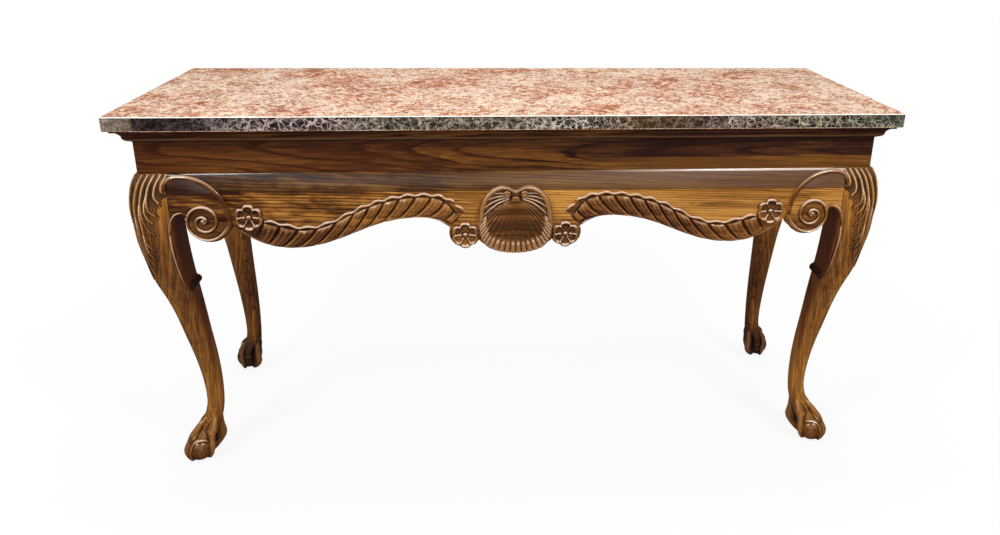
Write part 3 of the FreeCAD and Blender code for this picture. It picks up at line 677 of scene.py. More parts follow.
apron = {
    "serpentine": [(597, -113), (572, -133), (540, -152), (475, -164.5), (425, -159), (358, -137),
                   (300, -114), (222, -99), (168, -106), (141, -123)],
    "bead": [(532, -103), (508, -108), (458, -119), (400, -110), (330, -76), (250, -52), (190, -48),
             (145, -58), (110, -91)],
    "upperRosette": (563.5, -94),
    "lowerRosette": (109, -140.5),
    "rosetteLobe": [(9, -28), (-18, -23)],  # its edge round the lower rosette, from the rosette's middle
    "middleLobe": [(80, -153), (46, -176), (0, -182)],
    "ends": [70, 75],       # drops beside the leg and at the end of the bracket
    "sideArch": [113, 100], # drops at the ends and the middle of the side's lower edge
    "housed": 3,            # how far the front board enters the legs
    "bracketWide": 126,
}


def apronFront():
    rosetteX, rosetteZ = apron["lowerRosette"]
    lobe = [(rosetteX + x, rosetteZ + z) for x, z in apron["rosetteLobe"]]
    end = table["halfApron"] + apron["housed"]
    legDrop, bracketDrop = apron["ends"]
    half = [(end, 0), (end, -legDrop), (610, -bracketDrop)]
    half += [*smoothRun(apron["serpentine"], 150)]
    half += arcRun(apron["serpentine"][-1], *lobe, 24)[1:]
    half += arcRun(*apron["middleLobe"], 24)
    left = [(-x, z) for x, z in reversed(half[:-1])]
    board = bowedBoard("apronFrontBoard", half + left, table["apronReach"], oakX)
    spot = shifted(0, table["frontFace"], table["kneeTop"])
    spread(board, "oak", ("apronFront", spot, ["apron_front"]))


def apronSides():
    half = (table["backFace"] - table["frontFace"]) / 2 - table["legInner"]
    inside = half - apron["bracketWide"]
    legDrop, bracketDrop = apron["ends"]
    endDrop, middleDrop = apron["sideArch"]
    outline = [(half, 0), (half, -legDrop), (inside + 12, -bracketDrop)]
    outline += arcRun((inside, -endDrop), (0, -middleDrop), (-inside, -endDrop), 30)
    outline += [(-inside - 12, -bracketDrop), (-half, -legDrop), (-half, 0)]
    board = bowedBoard("apronSideBoard", outline, table["apronReach"], oakY)
    spot = shifted(-table["endFace"], table["middleY"], table["kneeTop"]) @ quarterTurn
    spread(board, "oak", ("apronLeft", spot, ["apron_left"]), ("apronRight", flipX @ spot, ["apron_right"]))


apronFront()
apronSides()
print("aprons ready")


bracket = {
    "sweep": [(20, 0), (45, -3), (70, -11), (101, -34), (118, -66), (123, -98), (115, -128)],
    "roll": [(115, -128), (98, -142), (78, -147), (56, -141), (39, -124), (31.5, -99)],
    "arch": [(31.5, -99), (17, -83), (0, -95)],
    "archBead": [(-6.5, -130), (-3.5, -113), (2, -97), (8, -88), (16, -83), (24, -81.8), (31, -85),
                 (35, -93)],
    "archGirth": [2.8, 3.2, 3.4, 3.4, 3.2, 2.6],
    # inner line of the C-scroll, from its hook on the leg to the volute
    "band": [(-7.5, -40), (-7, -24), (2, -10), (20, -5), (45, -7.5), (68, -15.2), (97.2, -37.5),
             (113.4, -67.5), (118, -97), (112, -124), (99, -137)],
    "bandHalf": 4.6,
    "bandHigh": 2.6,
    "sunk": -0.6,           # its edges lie this deep in the board
    "centre": (66, -101),
    # bead of the volute: turns from the right-hand side downwards, distance from the centre
    "coil": [(0, 50.5), (0.12, 45.5), (0.25, 41), (0.38, 36), (0.5, 33), (0.62, 32.3), (0.75, 32.5),
             (0.88, 30.5), (1, 27), (1.12, 24.6), (1.25, 22), (1.38, 18.4), (1.5, 15), (1.62, 12.4),
             (1.75, 10.4), (1.88, 8.2), (2, 6), (2.12, 4), (2.25, 2)],
    # outer edge of the roll, as turns and distance
    "rollEdge": [(0, 57), (0.08, 56), (0.145, 52), (0.21, 47.6), (0.29, 41.4), (0.39, 36), (0.5, 35),
                 (0.56, 35.8)],
    "beadHalf": 2.7,
    "beadHigh": 3.6,
    "lift": 2.2,            # ground of the volute above the board
}


def paintedLight(piece, bright=0.9, dark=0.7, start=0.8, toward=None, most=0.4):
    # painted highlight on the crests that look up and forward, or towards a direction,
    # and painted shade on the undersides
    normals = readOut(piece.data.vertex_normals, "vector", 3)
    if toward is None:
        facing = 0.62 * np.hypot(normals[:, 0], normals[:, 1]) + 0.78 * normals[:, 2]
    else:
        facing = normals @ (np.array(toward) / np.linalg.norm(toward))
    value = bright * stepUp(facing, start, 1.0) - dark * stepUp(-facing, -0.45, 0.3)
    before = readOut(reliefLayer(piece), "value", 1)[:, 0]
    setRelief(piece, value + np.minimum(before, most) * (1 - 0.7 * np.clip(value, 0, 1)))
    return piece


def onBracket(x, height, proud):
    return x, standBack(-np.minimum(height, 0)) - table["kneeReach"] - proud, height


def voluteGrid():
    centreX, centreZ = bracket["centre"]
    columns, rows = 200, 64
    turn = np.linspace(0, 1, columns)[None]
    coilTurns, coilReach = np.array(bracket["coil"]).T
    edgeTurns, edgeReach = np.array(bracket["rollEdge"]).T
    outer = np.interp(turn, coilTurns, coilReach) + 4.2
    rim = np.where(turn < 0.56, np.interp(turn, edgeTurns, edgeReach), outer)
    out = np.linspace(0.02, 1, rows)[:, None] ** 0.9
    reach = rim * out
    height = np.zeros(reach.shape)
    for coil in range(3):
        line = np.interp(turn + coil, coilTurns, coilReach)
        shape = root(1 - ((reach - line) / bracket["beadHalf"]) ** 2)
        swell = stepUp(turn + coil, 0.0, 0.10) * (1 - 0.15 * coil)
        height = np.maximum(height, bracket["beadHigh"] * shape * swell)
    line = np.interp(turn, coilTurns, coilReach)
    channel = -1.9 * stepUp(turn, 0.02, 0.3) * stepUp(reach, 4, 9) * (reach < line)
    height = np.where(height > 0.01, height, channel * (0.5 + 0.5 * np.cos((out - 0.5) * math.pi)))
    beyond = np.clip((reach - line) / np.maximum(rim - line, 1), 0, 1)
    rolled = bracket["beadHigh"] * 0.9 - 9 * beyond ** 2.4
    rolledShare = (turn < 0.5) * (reach > line) * stepUp(turn, 0, 0.1)
    height = height * (1 - rolledShare) + rolled * rolledShare
    height = height + bracket["lift"] + 1.4 * stepUp(1 - out, 0.35, 0.95)
    height = np.where((turn >= 0.5) & (out > 0.985), -0.6, height)
    height = np.where((turn < 0.12) & (out > 0.985), 0.3, height)
    angle = -math.tau * turn
    x, z = centreX + reach * np.cos(angle), centreZ + reach * np.sin(angle)
    grid = np.stack(onBracket(x, z, height), axis=2)
    piece = gridPiece("volute", grid, carvedOak, False, height - blurred(height, 4, False))
    return piece


def kneeBracket():
    sweep = [*smoothRun(bracket["sweep"], 60)]
    roll = [*smoothRun(bracket["roll"], 60)][1:]
    arch = arcRun(*bracket["arch"], 14)[1:]
    outline = sweep + roll + arch + [(0, 0)]
    reach = table["kneeReach"]
    board = bowedBoard("bracketBoard", outline, reach, oakX, 2.2)
    # C-scroll: a half-round strip on the face
    band = smoothRun(bracket["band"], 120)
    share = np.linspace(0, 1, len(band))
    half = bracket["bandHalf"] * (0.45 + 0.55 * stepUp(share, 0, 0.14)) * (1 - 0.4 * stepUp(share, 0.9, 1))
    high = bracket["bandHigh"] * (0.8 + 0.2 * stepUp(share, 0, 0.1)) * (1 - 0.5 * stepUp(share, 0.92, 1))
    across = np.sin(np.linspace(-1, 1, 13) * math.pi / 2)
    lift = high[:, None] * np.sqrt(1 - across ** 2)
    lift[:, [0, -1]] = bracket["sunk"]
    flat = band[:, None] + leftOf(band)[:, None] * (across[None, :, None] * half[:, None, None])
    grid = np.stack(onBracket(flat[..., 0], flat[..., 1], lift), axis=2)
    cScroll = gridPiece("cScroll", grid, carvedOak)
    line = [(x, 0.2 - reach, z) for x, z in smoothRun(bracket["archBead"], 60)]
    archBead = rod("archBead", line, bracket["archGirth"], carvedOak, 12)
    parts = [paintedLight(cScroll, 0.7, 0.6, 0.75), paintedLight(archBead, 1.0, 0.5, 0.62, (-0.55, -0.6, 0.58)),
             paintedLight(voluteGrid(), 0.95, 0.7, 0.72)]
    return board, joined("bracketCarving", parts)


def kneeBrackets():
    board, carved = kneeBracket()
    front, back = table["frontFace"], table["backFace"]
    half, end, inner, top = table["halfApron"], table["endFace"], table["legInner"], table["kneeTop"]
    frontLeft = shifted(-half, front, top)
    leftBack = shifted(-end, back - inner, top) @ quarterTurn
    spots = {"FrontLeft": frontLeft, "FrontRight": flipX @ frontLeft,
             "LeftBack": leftBack, "LeftFront": flipY @ leftBack,
             "RightBack": flipX @ leftBack, "RightFront": flipX @ flipY @ leftBack}
    firsts = {"FrontLeft": ["knee_brackets_front"], "LeftBack": ["knee_brackets_side"]}
    for name, spot in spots.items():
        grain = oakX if name.startswith("Front") else oakY
        settle(placed(board, "kneeBracket" + name, spot, grain), "oak", *firsts.get(name, []))
        settle(placed(carved, "bracketScroll" + name, spot), "oak")
    bpy.data.objects.remove(board)
    bpy.data.objects.remove(carved)


kneeBrackets()
print("brackets ready")


leg = {
    # height, reach outside the frieze faces, reach inside them, share of the corner that is round
    "sections": [
        (730, 5, 62, .14), (712, 12.5, 62, .16), (690, 17, 62, .18), (658, 20, 62, .2), (625, 18.3, 62, .22),
        (585, 16, 62.5, .24), (540, 10.3, 64.5, .28), (490, 3, 68, .34), (440, -9.8, 72.5, .42),
        (385, -21.7, 77.5, .55), (330, -30.5, 82, .68), (270, -40.2, 87, .8), (210, -47.4, 90, .92),
        (155, -50.5, 89.5, .98), (125, -48.5, 87.5, 1), (100, -41, 83.5, 1), (80, -30.5, 77.5, 1),
        (65, -20.5, 71.5, 1), (55, -14.5, 67.5, 1), (45, -10.5, 64.5, 1), (0, -9, 63, 1),
    ],
    "bead": [(57, 606), (56, 590), (55.5, 562), (57.5, 535), (61, 503), (66, 474), (71, 459)],
    "beadGirth": [3.0, 3.2, 3.2, 3.0, 2.6, 2.2],
    "roll": [(68, 12, 462), (68, 63, 462)],
    "rollRadius": 10.2,
    "post": (20.3, 62),
    "columns": 240,
    "evenness": 0.78,       # 1 spreads the columns evenly, less packs them at the outer corner
    "inset": 32,
    "glide": 2,
    "ball": 30,
    "skin": 3,              # the skin lies this much outside the ball
    "aboveBall": 70,
    "round": 125,           # sections below this height are round
    "arches": [(70, 48, 12, 56), (152, 20, 12, 42)],   # middle and half width in degrees, foot, top
    # ahead along the diagonal, aside, height, girth
    "frontToe": [(-34, 0, 112, 4), (-23, 0, 99, 6), (-9, 0, 89, 6.8), (3, 0, 79, 7.2), (15, 0, 67, 7.6),
                 (22.5, 0, 55, 7), (29, 0, 44, 7.4), (31.5, 0, 33, 6.6), (30, 0, 22, 4.9),
                 (27, 0, 12, 3.4), (23, 0, 4, 2)],
    "sideToe": [(-45, 8, 113, 4), (-39, 14, 101, 6), (-32, 20.5, 89, 6.8), (-25.5, 25, 77, 7.4),
                (-19.5, 27, 65, 7.6), (-17.5, 27.5, 53, 6.8), (-16.5, 28, 41, 7.2), (-16, 27, 30, 6.2),
                (-15, 25, 19, 4.8), (-13.5, 22.5, 10, 3.4), (-12, 19.5, 4, 2)],
    "rearToe": [(-52, 0, 116, 4), (-56.5, 0, 99, 6.8), (-57.5, 0, 82, 7.2), (-58, 0, 66, 7.6),
                (-60, 0, 52, 8.2), (-60, 0, 41, 8.4), (-54.5, 0, 30, 7.4), (-46, 0, 21, 6.4),
                (-38, 0, 13, 4.8), (-31, 0, 7, 3), (-27, 0, 3.5, 1.6)],
}

leaf = {
    # edge of the leaf: height, width along each face from the corner
    "edge": [(735, 76), (712, 79), (698, 77), (690, 79), (682, 72), (676, 66), (668, 68), (660, 62),
             (652, 55), (644, 59), (634, 56), (622, 48), (612, 50), (600, 48), (588, 40), (578, 42),
             (566, 40), (556, 33), (546, 34), (534, 30), (522, 22), (510, 19), (499, 10), (487, 2)],
    # ribs: (distance from the corner, height) from root to tip
    "ribs": [
        [(0, 735), (0, 690), (0, 640), (0, 580), (0, 530), (0, 487)],
        [(17, 735), (13.5, 708), (11, 682), (9.5, 652), (9, 618), (9, 584), (10, 556), (14, 532), (20, 516)],
        [(9, 640), (6, 600), (5.5, 565), (6.5, 535), (9, 512), (12, 500)],
        [(29, 735), (25, 708), (22, 680), (21, 652), (23, 626), (29, 607), (38, 600)],
        [(21, 668), (17, 640), (16, 610), (18, 584), (24, 567), (31, 562)],
        [(16, 600), (15, 575), (17, 552), (23, 540)],
        [(41, 735), (37, 710), (34.5, 690), (34.5, 670), (39, 652), (48, 643)],
        [(35, 690), (30, 668), (29, 648), (33, 634), (40, 626)],
        [(53, 735), (50, 714), (48, 698), (50, 682), (58, 672)],
        [(65, 735), (62, 718), (61, 704), (65, 694), (71, 692)],
    ],
    "ribWide": 2.5,
    "ribHigh": 3.9,
    "plate": 1.0,
    "fineLines": 0.55,      # height of the fine lines on the lower part
    "finePitch": 8.5,
}


def roundedReach(half, roundness, cos, sin):
    # distance from the middle of a rounded square to its edge, along each direction
    radius = half * roundness
    flat = half - radius
    big = np.maximum(np.abs(cos), np.abs(sin))
    small = np.minimum(np.abs(cos), np.abs(sin))
    straight = half / big
    along = flat * (big + small)
    curved = along + root(along ** 2 - (2 * flat ** 2 - radius ** 2))
    return np.where(straight * small <= flat, straight, curved)


def circleReach(centreX, centreY, radius, cos, sin):
    # far crossing of a ray from the origin with a circle; 0 where it misses
    along = centreX * cos + centreY * sin
    inside = along ** 2 - (centreX ** 2 + centreY ** 2 - radius ** 2)
    return np.where(inside > 0, np.maximum(along + root(inside), 0), 0)


def toeReach(toe, side, heights, axis, cos, sin):
    run = smoothRun(toe, 70)
    x = leg["inset"] - (run[:, 0] - side * run[:, 1]) * math.sqrt(0.5)
    y = leg["inset"] - (run[:, 0] + side * run[:, 1]) * math.sqrt(0.5)
    reach = np.zeros((len(heights), len(cos)))
    for px, py, pz, girth in zip(x, y, run[:, 2], run[:, 3]):
        slices = root(girth ** 2 - (heights - pz) ** 2)
        for row in np.nonzero(slices)[0]:
            found = circleReach(px - axis[row], py - axis[row], slices[row], cos, sin)
            reach[row] = np.maximum(reach[row], found)
    return reach


def softMax(a, b, soft):
    gap = np.clip(1 - np.abs(a - b) / (2 * soft), 0, 1)
    return np.maximum(a, b) + gap ** 2 * soft * 0.5


def skinDistance(heights, turn):
    # how far each place lies above the arches where the skin ends over the ball
    nearest = np.full((len(heights), len(turn)), 99.0)
    for middle, wide, foot, top in leg["arches"]:
        u = np.abs(turn - middle)[None, :] / wide
        v = np.maximum(heights[:, None] - foot, 0) / (top - foot)
        rise = u ** 5 + v ** 2 - 1
        slopeAcross = 5 * u ** 4 / (math.radians(wide) * leg["ball"])
        slopeUp = 2 * v / (top - foot)
        nearest = np.minimum(nearest, rise / np.maximum(np.hypot(slopeAcross, slopeUp), 0.02))
    return nearest


def leafRelief(away, height):
    # raised leaf with sharp ribs and hollows between, for distances from the corner and heights:
    # its lift, and its painted light, from painted shade in the hollows to painted highlights on the ribs
    edgeHeights, edgeWides = smoothRun(leaf["edge"][::-1], 300).T
    wide = np.interp(height, edgeHeights, edgeWides)
    inside = stepUp(wide - away, -0.9, 1.3) * stepUp(height, 485, 489)
    best = np.zeros_like(away)
    for rib in leaf["ribs"]:
        run = smoothRun(rib, 60)
        box = (away > run[:, 0].min() - 14) & (away < run[:, 0].max() + 14)
        box &= (height > run[:, 1].min() - 14) & (height < run[:, 1].max() + 14)
        apart = np.hypot(away[box][:, None] - run[:, 0], height[box][:, None] - run[:, 1])
        closest = apart.argmin(axis=1)
        share = closest / len(run)
        crest = np.exp(-apart[np.arange(len(closest)), closest] / leaf["ribWide"]) * (1 - 0.25 * share)
        best[box] = np.maximum(best[box], crest)
    sweep = (0.9 * height + 2.4 * away - 0.012 * away ** 2) / leaf["finePitch"] + 0.3 * np.sin(height / 9)
    fine = leaf["fineLines"] * np.cos(math.tau * sweep) * stepUp(away, 8, 14) * (1 - stepUp(height, 655, 700))
    lift = inside * (leaf["plate"] + leaf["ribHigh"] * (best - 0.42) + fine)
    high = stepUp(height, 590, 700)
    groove = bell(best - 0.24, 0.11)
    shade = stepUp(best, 0.42, 0.74) * (0.92 + 0.25 * high) - (0.62 - 0.2 * high) * groove - 0.12
    shade = shade - 0.55 * high * (1 - stepUp(best, 0.10, 0.35)) + 0.75 * fine * (best < 0.25)
    return lift, inside * shade


def legModel():
    ankle, leafTip, head = 116, 484, 728
    heights = np.concatenate([np.arange(leg["glide"], ankle, 1.1), np.arange(ankle, leafTip, 5.5),
                              np.arange(leafTip, head, 1.4), [head, 729.2, table["kneeTop"]]])
    section = np.array(leg["sections"])[::-1]
    run = smoothRun(section, 500)
    outer, inner, roundness = (np.interp(heights, run[:, 0], run[:, k]) for k in (1, 2, 3))
    middle = (inner - outer) / 2
    half = (outer + inner) / 2
    sway = stepUp(heights, 60, leg["round"])
    axis = leg["inset"] * (1 - sway) + middle * sway
    share = np.linspace(-1, 1, leg["columns"], endpoint=False)
    turn = 180 * share * (leg["evenness"] + (1 - leg["evenness"]) * share ** 2)
    angle = math.radians(225) + np.radians(turn)
    cos, sin = np.cos(angle), np.sin(angle)
    shaft = np.array([
        circleReach(m - a, m - a, h, cos, sin) if z < leg["round"] else roundedReach(h, r, cos, sin)
        for z, m, a, h, r in zip(heights, middle, axis, half, roundness)])
    over = skinDistance(heights, np.abs(turn))
    ballSlice, skinSlice = (root(size ** 2 - (heights[:, None] - leg["ball"]) ** 2)
                            for size in (leg["ball"], leg["ball"] + leg["skin"]))
    tall = heights[:, None]
    low = tall < leg["aboveBall"]
    ball = np.where(low, ballSlice, 0)
    web = softMax(shaft, np.where(low, skinSlice, 0), 2.5)
    lip = 1.1 * bell(over - 2.2, 1.5)
    covered = np.where(low, stepUp(over, -0.7, 0.7) * stepUp(tall, 9, 14), 1)
    toes = np.maximum.reduce([toeReach(leg[toe], side, heights, axis, cos, sin) for toe, side in (
        ("frontToe", 1), ("sideToe", 1), ("sideToe", -1), ("rearToe", 1))])
    body = ball + (np.maximum(web + lip, ball) - ball) * covered
    reach = np.where(tall < ankle, softMax(body, toes, 1.8), shaft)
    plan = np.stack([axis[:, None] + reach * cos, axis[:, None] + reach * sin], axis=2)
    # distance round the section from the outer corner
    steps = np.linalg.norm(np.diff(plan, axis=1), axis=2)
    run = np.concatenate([np.zeros((len(heights), 1)), np.cumsum(steps, axis=1)], axis=1)
    corner = np.argmin(np.abs(turn))
    away = np.abs(run - run[:, corner:corner + 1])
    tall = np.broadcast_to(heights[:, None], away.shape)
    carving, leafShade = leafRelief(away, tall)
    carved = reach + carving
    grid = np.stack([axis[:, None] + carved * cos, axis[:, None] + carved * sin, tall], axis=2)
    # painted light on the foot: painted shade in the crease where the skin meets the ball, painted highlights
    # on the toes' tops at the front
    onBall = (over < 0.4) & (toes < ballSlice + 0.3) & low
    highlightCap = 0.35 + 0.6 * stepUp(tall, 52, 62) * (1 - stepUp(tall, 104, 118)) * (np.abs(turn) < 100)[None]
    footRelief = np.minimum((reach - blurred(reach, 4)) / 1.7, highlightCap)
    footRelief = np.where(onBall, -0.9 * bell(over + 1.2, 1.6), footRelief)
    relief = np.where(tall < leg["round"], footRelief, leafShade)
    piece = gridPiece("legModel", grid, oakZ, True, relief)
    parts = [paintedLight(piece, 0.3, 0.3, most=1.0)]
    # rolls across the inner faces, and the bead that ends on them, once along x and once along y; the rolls
    # get painted shade, the beads painted highlights
    bead = smoothRun(leg["bead"], 90)
    outerAt = np.interp(bead[:, 1], section[:, 0], section[:, 1])
    path = [(x, -o - 0.8, z) for (x, z), o in zip(bead, outerAt)]
    for turned, toward in ((False, (-0.5, -0.75, 0.45)), (True, (-0.75, -0.5, 0.45))):
        roll, line = ([(y, x, z) for x, y, z in run] if turned else run for run in (leg["roll"], path))
        parts.append(paintedLight(rod("roll", roll, [leg["rollRadius"]] * 2, oakZ, 20), -0.7, 1.0, -1.0))
        parts.append(paintedLight(rod("legBead", line, leg["beadGirth"], oakZ, 12), 1.5, 0.3, 0.5, toward))
    near, far = leg["post"]
    plan = [(near, near), (far, near), (far, far), (near, far)]
    post = [(x, y, z) for z in (table["kneeTop"] - 1, table["corniceFoot"]) for x, y in plan]
    faces = [(0, 3, 2, 1), (4, 5, 6, 7), (0, 1, 5, 4), (1, 2, 6, 5), (2, 3, 7, 6), (3, 0, 4, 7)]
    parts.append(meshPiece("post", post, faces, oakZ))
    return joined("legModel", parts)


def legs():
    corner = shifted(-table["endFace"], table["frontFace"], 0)
    spread(legModel(), "oak",
           ("legFrontLeft", corner, ["leg_front_left"], oakZ),
           ("legFrontRight", flipX @ corner, ["leg_front_right"], oakZ),
           ("legBackLeft", flipY @ corner, ["leg_back_left"], shadedRearOak),
           ("legBackRight", flipX @ flipY @ corner, ["leg_back_right"], shadedRearOak))


legs()
print("legs ready")


border = {
    # where each lobe's crest meets the serpentine edge and where it meets the bead
    "tails": [572, 543, 515, 486, 450, 410, 370, 336, 302, 269, 236, 203, 173, 148],
    "tips": [553, 519, 483, 444, 404, 361, 328, 295, 264, 231, 195, 163, 137, 119],
    "outerLow": (584, -122.6),      # its end under the upper rosette
    "outerHigh": (566, -101),
    "fading": (526, 552),   # its lobes get lower between these
    "sweep": 1.5,           # above 1 the valleys run out flat along the serpentine edge
    "columns": 700,
    "rows": 64,
    "lobeHigh": 7.8,
    "ground": 0.8,
    "beadRadius": 3.5,
    "wave": 1.8,
}


def onApron(x, height, proud):
    return x, table["frontFace"] - table["apronReach"] - proud, table["kneeTop"] + height


def gadroonBorder():
    low = smoothRun([border["outerLow"]] + apron["serpentine"][1:], border["columns"])
    high = smoothRun([border["outerHigh"]] + apron["bead"], border["columns"])
    along = np.linspace(0, 1, border["columns"])[None, :]
    up = np.linspace(0, 1, border["rows"])[:, None]
    base = low[None] + (high - low)[None] * up[..., None]
    tails, tips = (np.array(border[key], float) for key in ("tails", "tips"))
    order = np.arange(-1, len(tails) + 1)
    count = np.empty(base.shape[:2])
    for row, share in enumerate(up[:, 0]):
        crests = tips + (tails - tips) * (1 - share) ** border["sweep"]
        crests = np.concatenate([[2 * crests[0] - crests[1]], crests, [2 * crests[-1] - crests[-2]]])
        count[row] = np.interp(-base[row, :, 0], -crests, order)
    part = count - np.round(count)
    lobes = np.maximum(1 - np.abs(2 * part) ** 2.2, 0) ** 0.7
    last = len(tails) - 1
    taper = 1 - 0.55 * stepUp(count, last - 2.5, last + 0.5)
    lobes = lobes * root(1 - np.abs((up - 0.45) / (0.46 * taper)) ** 3.5)
    lobes = lobes * stepUp(count, -0.5, 0.1) * (1 - stepUp(count, last - 0.1, last + 0.5))
    lobes = lobes * (1 - 0.6 * stepUp(base[..., 0], *border["fading"]))
    lobes = lobes * (0.72 + 0.28 * up) + 0.05 * np.cos(3 * math.tau * part) * lobes
    lowerLip = bell(up - 0.035, 0.035)
    height = np.maximum(border["ground"] + border["lobeHigh"] * lobes, 3.0 * lowerLip)
    closing = stepUp(along, 0, 0.012) * (1 - stepUp(along, 0.98, 1))
    height = height * closing - 0.2 * (1 - closing)
    height[[0, -1]] = -0.6
    grid = np.stack(onApron(base[..., 0], base[..., 1], height), axis=2)
    # relief for the painted light: painted shade under the bead and in the valleys between the lobes, a
    # painted highlight along the lower lip
    relief = (height - blurred(height, 6, False)) / 1.3 - stepUp(up, 0.88, 0.95) * 0.9 + lowerLip * 0.85
    seams = stepUp(np.abs(2 * part), 0.6, 0.95) * (count > -0.5) * (count < last + 0.5)
    relief = relief - 0.85 * seams * stepUp(up, 0.1, 0.6) * stepUp(0.5 * taper - np.abs(up - 0.5), 0, 0.1)
    relief = np.maximum(relief, stepUp(last - 0.4 - count, -0.4, 0.6) * -3 - 0.15)
    piece = gridPiece("gadroonModel", grid, carvedOak, False, relief)
    waveRun = smoothRun(apron["bead"], 300)
    side = leftOf(waveRun)
    ripple = np.cos(math.tau * np.interp(-waveRun[:, 0], -tips, np.arange(last + 1)))
    line = waveRun + side * (np.sign(side[:, 1]) * ripple * border["wave"])[:, None]
    thick = border["beadRadius"] * (1 + 0.12 * ripple)
    ending = np.linspace(0.6, 1, 8)
    thick[:8] *= ending
    thick[-8:] *= ending[::-1]
    bead = rod("bead", [onApron(x, z, 1.6) for x, z in line], list(thick), carvedOak, 12)
    piece = paintedLight(piece, 0.46, 0.9, 0.76, (0.4, -0.6, 0.65), 0.34)
    return joined("gadroonModel", [piece, paintedLight(bead, 1.05, 1.0, 0.66)])


flower = {
    "radius": 31,
    "petals": 6,
    "notch": 0.22,          # share of the radius that the edge falls back between petals
    "seam": 1.3,            # half width of the line between petals
    "rim": 4.0,
    "button": 5.4,
    "buttonHigh": 4.2,
}


def rosette(spot):
    radius = flower["radius"]
    columns, rows = 180, 44
    angle = np.linspace(0, math.tau, columns, endpoint=False)[None, :]
    out = np.concatenate([np.linspace(0.02, 1, rows - 1), [1.0]])[:, None]
    petal = math.pi / flower["petals"]      # half of one
    turn = (angle - math.pi / 2 + petal) % (2 * petal) - petal
    away = out * radius * (1 - flower["notch"] * (np.abs(turn) / petal) ** 2.8)
    seam = bell(away * np.sin(petal - np.abs(turn)), flower["seam"]) * stepUp(away, 6, 10)
    height = 1.8 + 2.2 * stepUp(out, 0.3, 0.9) + flower["rim"] * bell(out - 0.85, 0.11) + 2.6 * seam
    height = height - 5.0 * stepUp(out, 0.92, 1.0) ** 2
    button = away / flower["button"]
    height = np.where(button < 1, 3.2 + flower["buttonHigh"] * root(1 - button ** 2), height)
    height[-1] = -0.6
    grid = np.stack(onApron(spot[0] + away * np.cos(angle), spot[1] + away * np.sin(angle), height), axis=2)
    piece = gridPiece("rosette", grid, carvedOak, True, (height - blurred(height, 4)) / 0.8)
    softened(paintedLight(piece, 0.9, 0.6, 0.78), 60)
    return piece


shell = {
    "rim": [(0, -38), (9, -34.5), (20, -29.5), (32, -28.5), (46, -33), (61, -45), (74, -66), (79.5, -92),
            (79.5, -118), (75.5, -143), (64, -164), (44, -174.5), (22, -179.5), (0, -181)],
    "hinge": (0, -56),
    "fluteTurn": 6,         # degrees between the lobes of the lower rim
    "innerTurn": 9,         # and between the fine ribs of the bowl
    "ridges": [66, 78, 91, 105, 120],
    "dish": 11.5,
    "curl": (18, -45),      # middle of the curl beside the hinge
    "curlGirth": [3.0, 2.8, 2.4, 2.0],
    "hingeBlock": [(-7, -53, 9.5), (7, -53, 9.5), (10.5, -62, 8.0), (-10.5, -62, 8.0)],
}


